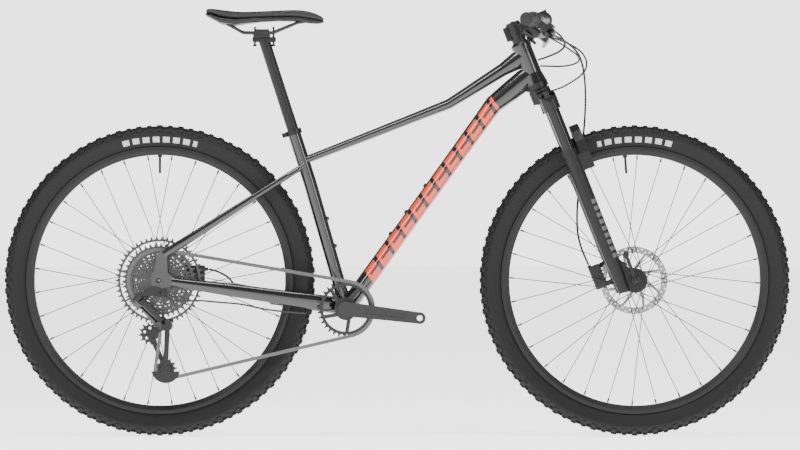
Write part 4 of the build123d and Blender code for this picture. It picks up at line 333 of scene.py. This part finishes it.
def tread_step():
    """One step of the tread as closed blocks: low centre pairs, slim transition blocks and tall side blocks."""
    points, faces = [], []
    for side in (-1, 1):
        for share, lean, along, across, extra in TREAD_BLOCKS:
            around = Matrix.Rotation(share * STEP_ANGLE, 4, "Y")
            tilt = Matrix.Rotation(-side * math.radians(lean), 4, "X")
            centre = Vector((0, 0, TREAD_ARC_CENTRE))
            base = TREAD_ARC_RADIUS - BLOCK_HEIGHT - BLOCK_ROOT
            top = TREAD_ARC_RADIUS - BLOCK_DROP + extra
            start = len(points)
            for height, shrink in ((base, 1.0), (top, BLOCK_TAPER)):
                for x, y in ((-1, -1), (1, -1), (1, 1), (-1, 1)):
                    corner = Vector((x * along * shrink / 2, y * across * shrink / 2, height))
                    points.append(around @ (centre + tilt @ corner))
            faces.append([start + i for i in (3, 2, 1, 0)])
            faces.append([start + i for i in (4, 5, 6, 7)])
            for i in range(4):
                j = (i + 1) % 4
                faces.append([start + k for k in (i, j, j + 4, i + 4)])
    return mesh_piece("tread_step", points, faces, smooth=False)


def ring_tree(name):
    """Geometry nodes that set a piece round an axle that lies across the bike."""
    tree = bpy.data.node_groups.new(name, "GeometryNodeTree")
    face = tree.interface
    face.new_socket("Geometry", in_out="INPUT", socket_type="NodeSocketGeometry")
    face.new_socket("Copies", in_out="INPUT", socket_type="NodeSocketInt")
    face.new_socket("Axle", in_out="INPUT", socket_type="NodeSocketVector")
    face.new_socket("Surface", in_out="INPUT", socket_type="NodeSocketMaterial")
    face.new_socket("Geometry", in_out="OUTPUT", socket_type="NodeSocketGeometry")
    given = tree.nodes.new("NodeGroupInput")
    result = tree.nodes.new("NodeGroupOutput")
    seats = tree.nodes.new("GeometryNodePoints")
    number = tree.nodes.new("GeometryNodeInputIndex")
    angle = tree.nodes.new("ShaderNodeMath")
    angle.operation = "DIVIDE"
    full = tree.nodes.new("ShaderNodeMath")
    full.operation = "MULTIPLY"
    full.inputs[1].default_value = 2 * math.pi
    turn = tree.nodes.new("ShaderNodeCombineXYZ")
    copies = tree.nodes.new("GeometryNodeInstanceOnPoints")
    solid = tree.nodes.new("GeometryNodeRealizeInstances")
    placed = tree.nodes.new("GeometryNodeTransform")
    skin = tree.nodes.new("GeometryNodeSetMaterial")
    link = tree.links.new
    link(given.outputs["Copies"], seats.inputs["Count"])
    link(number.outputs["Index"], angle.inputs[0])
    link(given.outputs["Copies"], angle.inputs[1])
    link(angle.outputs[0], full.inputs[0])
    link(full.outputs[0], turn.inputs["Y"])
    link(seats.outputs[0], copies.inputs["Points"])
    link(given.outputs["Geometry"], copies.inputs["Instance"])
    link(turn.outputs[0], copies.inputs["Rotation"])
    link(copies.outputs[0], solid.inputs[0])
    link(solid.outputs[0], placed.inputs["Geometry"])
    link(given.outputs["Axle"], placed.inputs["Translation"])
    link(placed.outputs[0], skin.inputs["Geometry"])
    link(given.outputs["Surface"], skin.inputs["Material"])
    link(skin.outputs[0], result.inputs[0])
    return tree


def grown(piece, tree, **inputs):
    """The plain mesh that a tree makes of a piece, which it takes the place of."""
    modifier = piece.modifiers.new(tree.name, "NODES")
    modifier.node_group = tree
    for socket in tree.interface.items_tree:
        key = socket.name.lower().replace(" ", "_")
        if socket.in_out == "INPUT" and key in inputs:
            modifier[socket.identifier] = inputs[key]
    bpy.context.view_layer.update()
    evaluated = piece.evaluated_get(bpy.context.evaluated_depsgraph_get())
    mesh = bpy.data.meshes.new_from_object(evaluated)
    piece.modifiers.remove(modifier)
    piece.data = mesh
    return piece


tread_ring = ring_tree("tread_ring")
for name, axle, body in (("front_tyre", FRONT_AXLE, "front_wheel"), ("rear_tyre", REAR_AXLE, "rear_wheel")):
    casing = turned(name + "_casing", axle, casing_profile(), TURN_STEPS)
    casing.data.materials.append(tyre_rubber)
    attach(casing, body)
    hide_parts(name)
    blocks = grown(tread_step(), tread_ring, copies=TREAD_STEPS, axle=axle, surface=tyre_rubber)
    blocks.name = name + "_tread"
    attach(blocks, body)
    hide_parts(name)

# ---- wheels ----
# Welded alloy rims anodised black, black stainless spokes with alloy nipples, and black machined hubs.
# The brake discs are stamped stainless, with a ring ground bright by the pads.
rim_anodising = finish(
    "rim_anodising", (0.010, 0.010, 0.011), (0.018, 0.018, 0.019), (0.34, 0.46), 500, metal=0.4, bump=0.05
)
spoke_coating = finish("spoke_coating", (0.02, 0.02, 0.02), (0.05, 0.05, 0.05), (0.3, 0.45), 300, metal=0.6)
hub_anodising = finish(
    "hub_anodising", (0.012, 0.012, 0.013), (0.03, 0.03, 0.031), (0.28, 0.42), 400, metal=0.6, bump=0.05
)
disc_steel = finish(
    "disc_steel", (0.16, 0.16, 0.165), (0.34, 0.34, 0.35), (0.22, 0.4), 700, metal=1.0, bump=0.08
)
dress(rim_anodising, "front_rim", "rear_rim")
dress(spoke_coating, "front_spokes", "rear_spokes")
dress(hub_anodising, "front_hub", "rear_hub")
dress(disc_steel, "front_rotor", "rear_rotor")

# ---- frame ----
# Hydroformed alloy tubes, welded, ground smooth and painted gloss black under clear lacquer.
# The down tube has a row of slanted orange bars along each side, laid under the lacquer.
SHELL = Vector((-0.120789, 0, 0.3015))
DOWN_TUBE_BEND = Vector((0.227539, 0, 0.78416))
BAR_ORANGE = (0.8, 0.045, 0.001, 1)
BAR_ROW_START = 0.092
BAR_ROW_END = 0.602
BAR_PITCH = 0.0456
BAR_SHARE = 0.78
BAR_HALF_HEIGHT = 0.0155
BAR_SLANT = 0.35
SLOT_HALF_HEIGHT = 0.0028
CLOSED_END_SHARE = 0.18


def gloss_black(name):
    return finish(
        name, (0.0035, 0.0035, 0.004), (0.006, 0.006, 0.0065), (0.22, 0.3), 60, coat=1.0, coat_rough=0.03
    )


frame_paint = gloss_black("frame_paint")
dress(frame_paint, "head_tube", "top_tube", "seat_tube", "bottom_bracket_shell")
dress(frame_paint, "chainstays", "seatstays", "dropouts")


down_tube_paint = gloss_black("down_tube_paint")
paint_tree = down_tube_paint.node_tree
tube_way = (DOWN_TUBE_BEND - SHELL).normalized()
tube_up = Vector((-tube_way.z, 0, tube_way.x))
along = distance_along(paint_tree, SHELL, tube_way)
height = distance_along(paint_tree, SHELL, tube_up)
from_middle = maths(paint_tree, "ABSOLUTE", height)
slanted = maths(paint_tree, "SUBTRACT", along, maths(paint_tree, "MULTIPLY", height, BAR_SLANT))
open_slot = maths(paint_tree, "GREATER_THAN", from_middle, SLOT_HALF_HEIGHT)
closed_end = blocks_in_row(paint_tree, slanted, BAR_PITCH, CLOSED_END_SHARE)
bars = all_of(
    paint_tree,
    blocks_in_row(paint_tree, slanted, BAR_PITCH, BAR_SHARE),
    within(paint_tree, slanted, BAR_ROW_START, BAR_ROW_END),
    maths(paint_tree, "LESS_THAN", from_middle, BAR_HALF_HEIGHT),
    maths(paint_tree, "MAXIMUM", open_slot, closed_end),
)
print_over(down_tube_paint, bars, BAR_ORANGE)
dress(down_tube_paint, "down_tube")

# ---- small frame parts ----
# Black bolts, the rubber port cover on the down tube, the cable stops and the seat clamp.
small_part_black = finish(
    "small_part_black", (0.012, 0.012, 0.012), (0.028, 0.028, 0.028), (0.32, 0.5), 500, bump=0.08
)
clamp_black = finish(
    "clamp_black", (0.006, 0.006, 0.0065), (0.014, 0.014, 0.014), (0.26, 0.36), 300, metal=0.3, bump=0.03
)
dress(small_part_black, "frame_fittings")
dress(clamp_black, "seat_collar", "headset_cups", "bottom_bracket_cups", "rear_axle")

# ---- fork ----
# Cast magnesium lowers in satin black slide on black-coated stanchions held in a forged crown.
# A stack of thin grey dashes runs down each lower leg.
FORK_GREY = (0.09, 0.09, 0.092, 1)
LEG_TOP = Vector((0.4337, 0, 0.6044))
LEG_DOWN = Vector((0.366501, 0, -0.930418))
LEG_AHEAD = Vector((0.930418, 0, 0.366501))
DASH_PITCH = 0.017
DASH_SHARE = 0.62
DASH_ROW = (0.05, 0.2)
DASH_WIDTH = (0.003, 0.014)
fork_paint = finish(
    "fork_paint", (0.007, 0.007, 0.0075), (0.013, 0.013, 0.0135), (0.36, 0.5), 350, bump=0.04, shine=0.25
)
stanchion_coating = finish(
    "stanchion_coating", (0.01, 0.01, 0.01), (0.018, 0.018, 0.018), (0.12, 0.2), 400, metal=0.3
)
crown_black = finish(
    "crown_black", (0.007, 0.007, 0.007), (0.014, 0.014, 0.014), (0.3, 0.42), 350, metal=0.2, bump=0.04
)
leg_tree = fork_paint.node_tree
down_leg = distance_along(leg_tree, LEG_TOP, LEG_DOWN)
ahead_leg = distance_along(leg_tree, LEG_TOP, LEG_AHEAD)
dashes = all_of(
    leg_tree,
    blocks_in_row(leg_tree, down_leg, DASH_PITCH, DASH_SHARE),
    within(leg_tree, down_leg, *DASH_ROW),
    within(leg_tree, ahead_leg, *DASH_WIDTH),
)
print_over(fork_paint, dashes, FORK_GREY)
dress(fork_paint, "fork_lowers")
dress(stanchion_coating, "stanchions")
dress(crown_black, "fork_crown", "front_axle", "axle_lever")

# ---- brakes ----
# Two-piston calipers, forged and hard-coated, with their bolts.
caliper_black = finish(
    "caliper_black", (0.014, 0.014, 0.015), (0.035, 0.035, 0.036), (0.3, 0.45), 450, metal=0.5, bump=0.06
)
dress(caliper_black, "front_caliper", "rear_caliper")

# ---- stem, bar and spacers ----
# Forged stem and butted bar, shot-peened and anodised black.
peened_black = finish(
    "peened_black", (0.008, 0.008, 0.0085), (0.017, 0.017, 0.018), (0.3, 0.44), 600, metal=0.3, bump=0.06
)
dress(peened_black, "stem", "handlebar", "headset_spacers")

# ---- grips ----
# Soft rubber sleeves with raised rings and an end flange, pushed over the bar's ends.
BAR_END = Vector((0.296992, -0.367, 0.972146))
BAR_OUTWARD = Vector((-0.14256, -0.989298, -0.03109))
GRIP_LENGTH = 0.132
GRIP_RADIUS = 0.0158
GRIP_CORE = 0.0142
GRIP_BORE = 0.0112
GRIP_CAP = 0.003
FIRST_RIB = 0.0105
FLANGE_RADIUS = 0.0186
RIB_COUNT = 24
RIB_PITCH = 0.0048
GRIP_SIDES = 32

grip_rubber = finish("grip_rubber", (0.010, 0.010, 0.010), (0.02, 0.02, 0.02), (0.55, 0.75), 1100, bump=0.25)


def grip_profile():
    """Distance along the grip and radius, with a raised ring every few millimetres."""
    line = [(0.0, GRIP_BORE), (0.0, FLANGE_RADIUS - 0.0006), (0.0008, FLANGE_RADIUS)]
    line += [(0.0054, FLANGE_RADIUS), (0.0062, FLANGE_RADIUS - 0.0008), (0.0068, GRIP_CORE)]
    for rib in range(RIB_COUNT):
        start = FIRST_RIB + rib * RIB_PITCH
        line += [(start, GRIP_CORE), (start + 0.0006, GRIP_RADIUS)]
        line += [(start + 0.0028, GRIP_RADIUS), (start + 0.0034, GRIP_CORE)]
    end = GRIP_LENGTH + GRIP_CAP
    line += [(end - 0.0068, GRIP_CORE), (end - 0.006, GRIP_RADIUS), (end - 0.001, GRIP_RADIUS)]
    line += [(end, GRIP_RADIUS - 0.001), (end, 0.0)]
    return line


def lathed(name, line, start, way, sides):
    """A line of distance and radius turned about a way from start, closed where it meets the axis."""
    turn = way.to_track_quat("Z", "Y").to_matrix()
    points, faces = [], []
    for far, radius in line:
        for side in range(sides):
            angle = 2 * math.pi * side / sides
            points.append(start + turn @ Vector((radius * math.cos(angle), radius * math.sin(angle), far)))
    for ring in range(len(line) - 1):
        for side in range(sides):
            ahead = (side + 1) % sides
            near, far = ring * sides, (ring + 1) * sides
            faces.append((near + side, near + ahead, far + ahead, far + side))
    return mesh_piece(name, points, faces)


for name, side in (("grip_right", 1), ("grip_left", -1)):
    outward = Vector((BAR_OUTWARD.x, side * BAR_OUTWARD.y, BAR_OUTWARD.z)).normalized()
    end = Vector((BAR_END.x, side * BAR_END.y, BAR_END.z))
    grip = lathed(name, grip_profile(), end - outward * GRIP_LENGTH, outward, GRIP_SIDES)
    grip.data.materials.append(grip_rubber)
    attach(grip, "steering")
    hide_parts("grips")

# ---- controls ----
# Brake levers in dark alloy on moulded bodies, a trigger shifter on the right and a fork remote on the left.
control_plastic = finish(
    "control_plastic", (0.010, 0.010, 0.010), (0.022, 0.022, 0.022), (0.38, 0.55), 700, bump=0.1
)
lever_alloy = finish(
    "lever_alloy", (0.012, 0.012, 0.013), (0.03, 0.03, 0.032), (0.22, 0.34), 500, metal=0.5, bump=0.04
)
dress(control_plastic, "lever_bodies", "shifter_body", "lockout_remote", "lockout_lever")
dress(lever_alloy, "brake_lever_right", "brake_lever_left", "shift_thumb_lever", "shift_release_lever")

# ---- hoses and housings ----
# Smooth black nylon-sheathed brake hoses and gear housing, fixed at both ends and bowed between.
HOSE_RADIUS = 0.0025
HOUSING_RADIUS = 0.0022
sheath = finish("hose_sheath", (0.006, 0.006, 0.006), (0.012, 0.012, 0.012), (0.26, 0.36), 300, bump=0.02)


def hose(name, route, radius):
    curve = bpy.data.curves.new(name, "CURVE")
    curve.dimensions = "3D"
    line = curve.splines.new("NURBS")
    line.points.add(len(route) - 1)
    for point, place in zip(line.points, route):
        point.co = (*(value / 1000 for value in place), 1)
    line.order_u = 3
    line.use_endpoint_u = True
    line.resolution_u = 10
    curve.bevel_depth = radius
    curve.bevel_resolution = 5
    curve.use_fill_caps = True
    draft = bpy.data.objects.new(name, curve)
    bpy.context.scene.collection.objects.link(draft)
    bpy.context.view_layer.update()
    mesh = bpy.data.meshes.new_from_object(draft.evaluated_get(bpy.context.evaluated_depsgraph_get()))
    bpy.data.objects.remove(draft)
    mesh.materials.clear()
    mesh.materials.append(sheath)
    mesh.polygons.foreach_set("use_smooth", [True] * len(mesh.polygons))
    piece = bpy.data.objects.new(name, mesh)
    bpy.context.scene.collection.objects.link(piece)
    return piece


rear_hose = hose("rear_brake_hose", [
    (358.7, -120.2, 959.5), (371, -96, 953), (388, -72, 941), (398, -45, 923), (385, -24, 909), (364, -15, 900),
    (348, -11, 894), (332.9, -8, 889.4)], HOSE_RADIUS)
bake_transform(rear_hose)
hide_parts("control_cables")

shift_housing = hose("shift_housing", [
    (325, -135.3, 951.7), (338, -116, 947), (360, -89, 938), (385, -63, 926), (408, -40, 912), (429, -19, 898),
    (431, 0, 885), (411, 8, 877), (384, 6, 874), (358, 2, 875), (338, -1, 875.3)], HOUSING_RADIUS)
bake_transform(shift_housing)
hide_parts("control_cables")

lockout_housing = hose("lockout_housing", [
    (322.3, 159.2, 959.3), (337, 138, 957), (358, 113, 951), (384, 87, 941), (411, 61, 929), (436, 36, 912),
    (449, 9, 890), (447, -13, 867), (431, -31, 849), (408, -46, 834), (383, -57, 820),
    (359.2, -65, 813.8)], HOUSING_RADIUS)
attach(lockout_housing, "steering")
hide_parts("control_cables")

front_hose = hose("front_brake_hose_run", [
    (358.7, 120.2, 959.5), (370, 94, 953), (388, 69, 943), (410, 44, 928), (430, 25, 906), (440, 16, 876),
    (445, 18, 840), (447, 32, 800), (446, 50, 756), (443, 68, 712), (440, 82, 668), (436, 89, 620),
    (431, 90, 570), (428, 87, 522), (429, 79, 480), (436, 64, 449), (444, 54, 427), (454.6, 50.5, 404.2)], HOSE_RADIUS)
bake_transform(front_hose)
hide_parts("front_brake_hose")

# ---- saddle and post ----
# Foam under a stitched synthetic cover, pulled over a nylon base; steel rails in a two-bolt alloy head.
SADDLE_FRONT = -0.1718
RAIL_HEIGHT = 0.9537
COVER_SHARE = 0.36
RING_POINTS = 28
saddle_skin = finish(
    "saddle_skin", (0.009, 0.009, 0.009), (0.019, 0.019, 0.019), (0.42, 0.58), 1300, bump=0.3
)
saddle_base = finish("saddle_base", (0.007, 0.007, 0.007), (0.013, 0.013, 0.013), (0.36, 0.5), 500, bump=0.05)
rail_black = finish("rail_black", (0.01, 0.01, 0.01), (0.02, 0.02, 0.02), (0.25, 0.38), 300, metal=0.3)

# Distance back from the nose, half width, and the heights of the top and the base's edge above the rails.
saddle_lines = [
    (0.0015, 0.008, 0.033, 0.026),
    (0.006, 0.0135, 0.038, 0.023),
    (0.016, 0.017, 0.044, 0.021),
    (0.037, 0.019, 0.0515, 0.022),
    (0.062, 0.020, 0.0545, 0.027),
    (0.085, 0.0213, 0.0541, 0.0275),
    (0.108, 0.023, 0.053, 0.0275),
    (0.130, 0.0266, 0.0519, 0.0267),
    (0.150, 0.031, 0.051, 0.0255),
    (0.166, 0.0375, 0.0501, 0.0238),
    (0.182, 0.045, 0.0495, 0.022),
    (0.197, 0.053, 0.0494, 0.0196),
    (0.212, 0.060, 0.050, 0.0175),
    (0.229, 0.0665, 0.0519, 0.0192),
    (0.246, 0.071, 0.054, 0.022),
    (0.257, 0.0722, 0.0555, 0.0275),
    (0.268, 0.0705, 0.0563, 0.034),
    (0.276, 0.066, 0.0555, 0.038),
    (0.280, 0.060, 0.053, 0.041),
]
saddle_points, saddle_faces = [], []
for back, half_width, top, bottom in saddle_lines:
    low = bottom + (top - bottom) * COVER_SHARE
    middle, half = (top + low) / 2, (top - low) / 2
    for i in range(RING_POINTS):
        angle = 2 * math.pi * i / RING_POINTS
        across = math.copysign(abs(math.cos(angle)) ** 0.62, math.cos(angle)) * half_width
        rise = math.copysign(abs(math.sin(angle)) ** 0.8, math.sin(angle)) * half
        saddle_points.append((SADDLE_FRONT - back, across, RAIL_HEIGHT + middle + rise))
rings = len(saddle_lines)
for ring in range(rings - 1):
    for i in range(RING_POINTS):
        j = (i + 1) % RING_POINTS
        near, far = ring * RING_POINTS, (ring + 1) * RING_POINTS
        saddle_faces.append((near + i, far + i, far + j, near + j))
saddle_faces.append(tuple(range(RING_POINTS)))
saddle_faces.append(tuple((rings - 1) * RING_POINTS + i for i in reversed(range(RING_POINTS))))
saddle = mesh_piece("saddle_pad", saddle_points, saddle_faces)
rounding = saddle.modifiers.new("rounding", "SUBSURF")
rounding.levels = rounding.render_levels = 2
saddle.data.materials.append(saddle_skin)
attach(saddle, "seatpost")
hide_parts("saddle_cover")
dress(saddle_base, "saddle_shell")
dress(rail_black, "saddle_rails")
dress(peened_black, "seatpost")

# ---- cranks and chainring ----
# Forged hollow arms in grey-black, a stamped steel ring on three short arms, and a steel spindle.
crank_grey = finish(
    "crank_grey", (0.02, 0.02, 0.021), (0.035, 0.035, 0.036), (0.3, 0.4), 500, metal=0.4, bump=0.05
)
ring_steel = finish(
    "ring_steel", (0.02, 0.02, 0.02), (0.05, 0.05, 0.05), (0.3, 0.44), 500, metal=0.7, bump=0.05
)
dress(crank_grey, "crank_arm_right", "crank_arm_left")
dress(ring_steel, "chainring")

# ---- cassette, chain and derailleur ----
# Twelve stamped steel sprockets, an oiled steel chain, and a derailleur of forged links with moulded pulleys.
sprocket_steel = finish(
    "sprocket_steel", (0.03, 0.03, 0.031), (0.10, 0.10, 0.102), (0.26, 0.42), 900, metal=0.9, bump=0.06
)
chain_steel = finish(
    "chain_steel", (0.06, 0.06, 0.061), (0.16, 0.16, 0.162), (0.26, 0.4), 900, metal=0.9, bump=0.06
)
link_black = finish(
    "link_black", (0.012, 0.012, 0.0125), (0.03, 0.03, 0.031), (0.26, 0.42), 500, metal=0.5, bump=0.06
)
pulley_plastic = finish(
    "pulley_plastic", (0.012, 0.012, 0.012), (0.025, 0.025, 0.025), (0.4, 0.55), 700, bump=0.08
)
dress(sprocket_steel, "cassette")
dress(chain_steel, "chain")
dress(link_black, "b_knuckle", "derailleur_link_outer", "derailleur_link_inner", "p_knuckle", "cage")
dress(pulley_plastic, "guide_pulley", "tension_pulley")
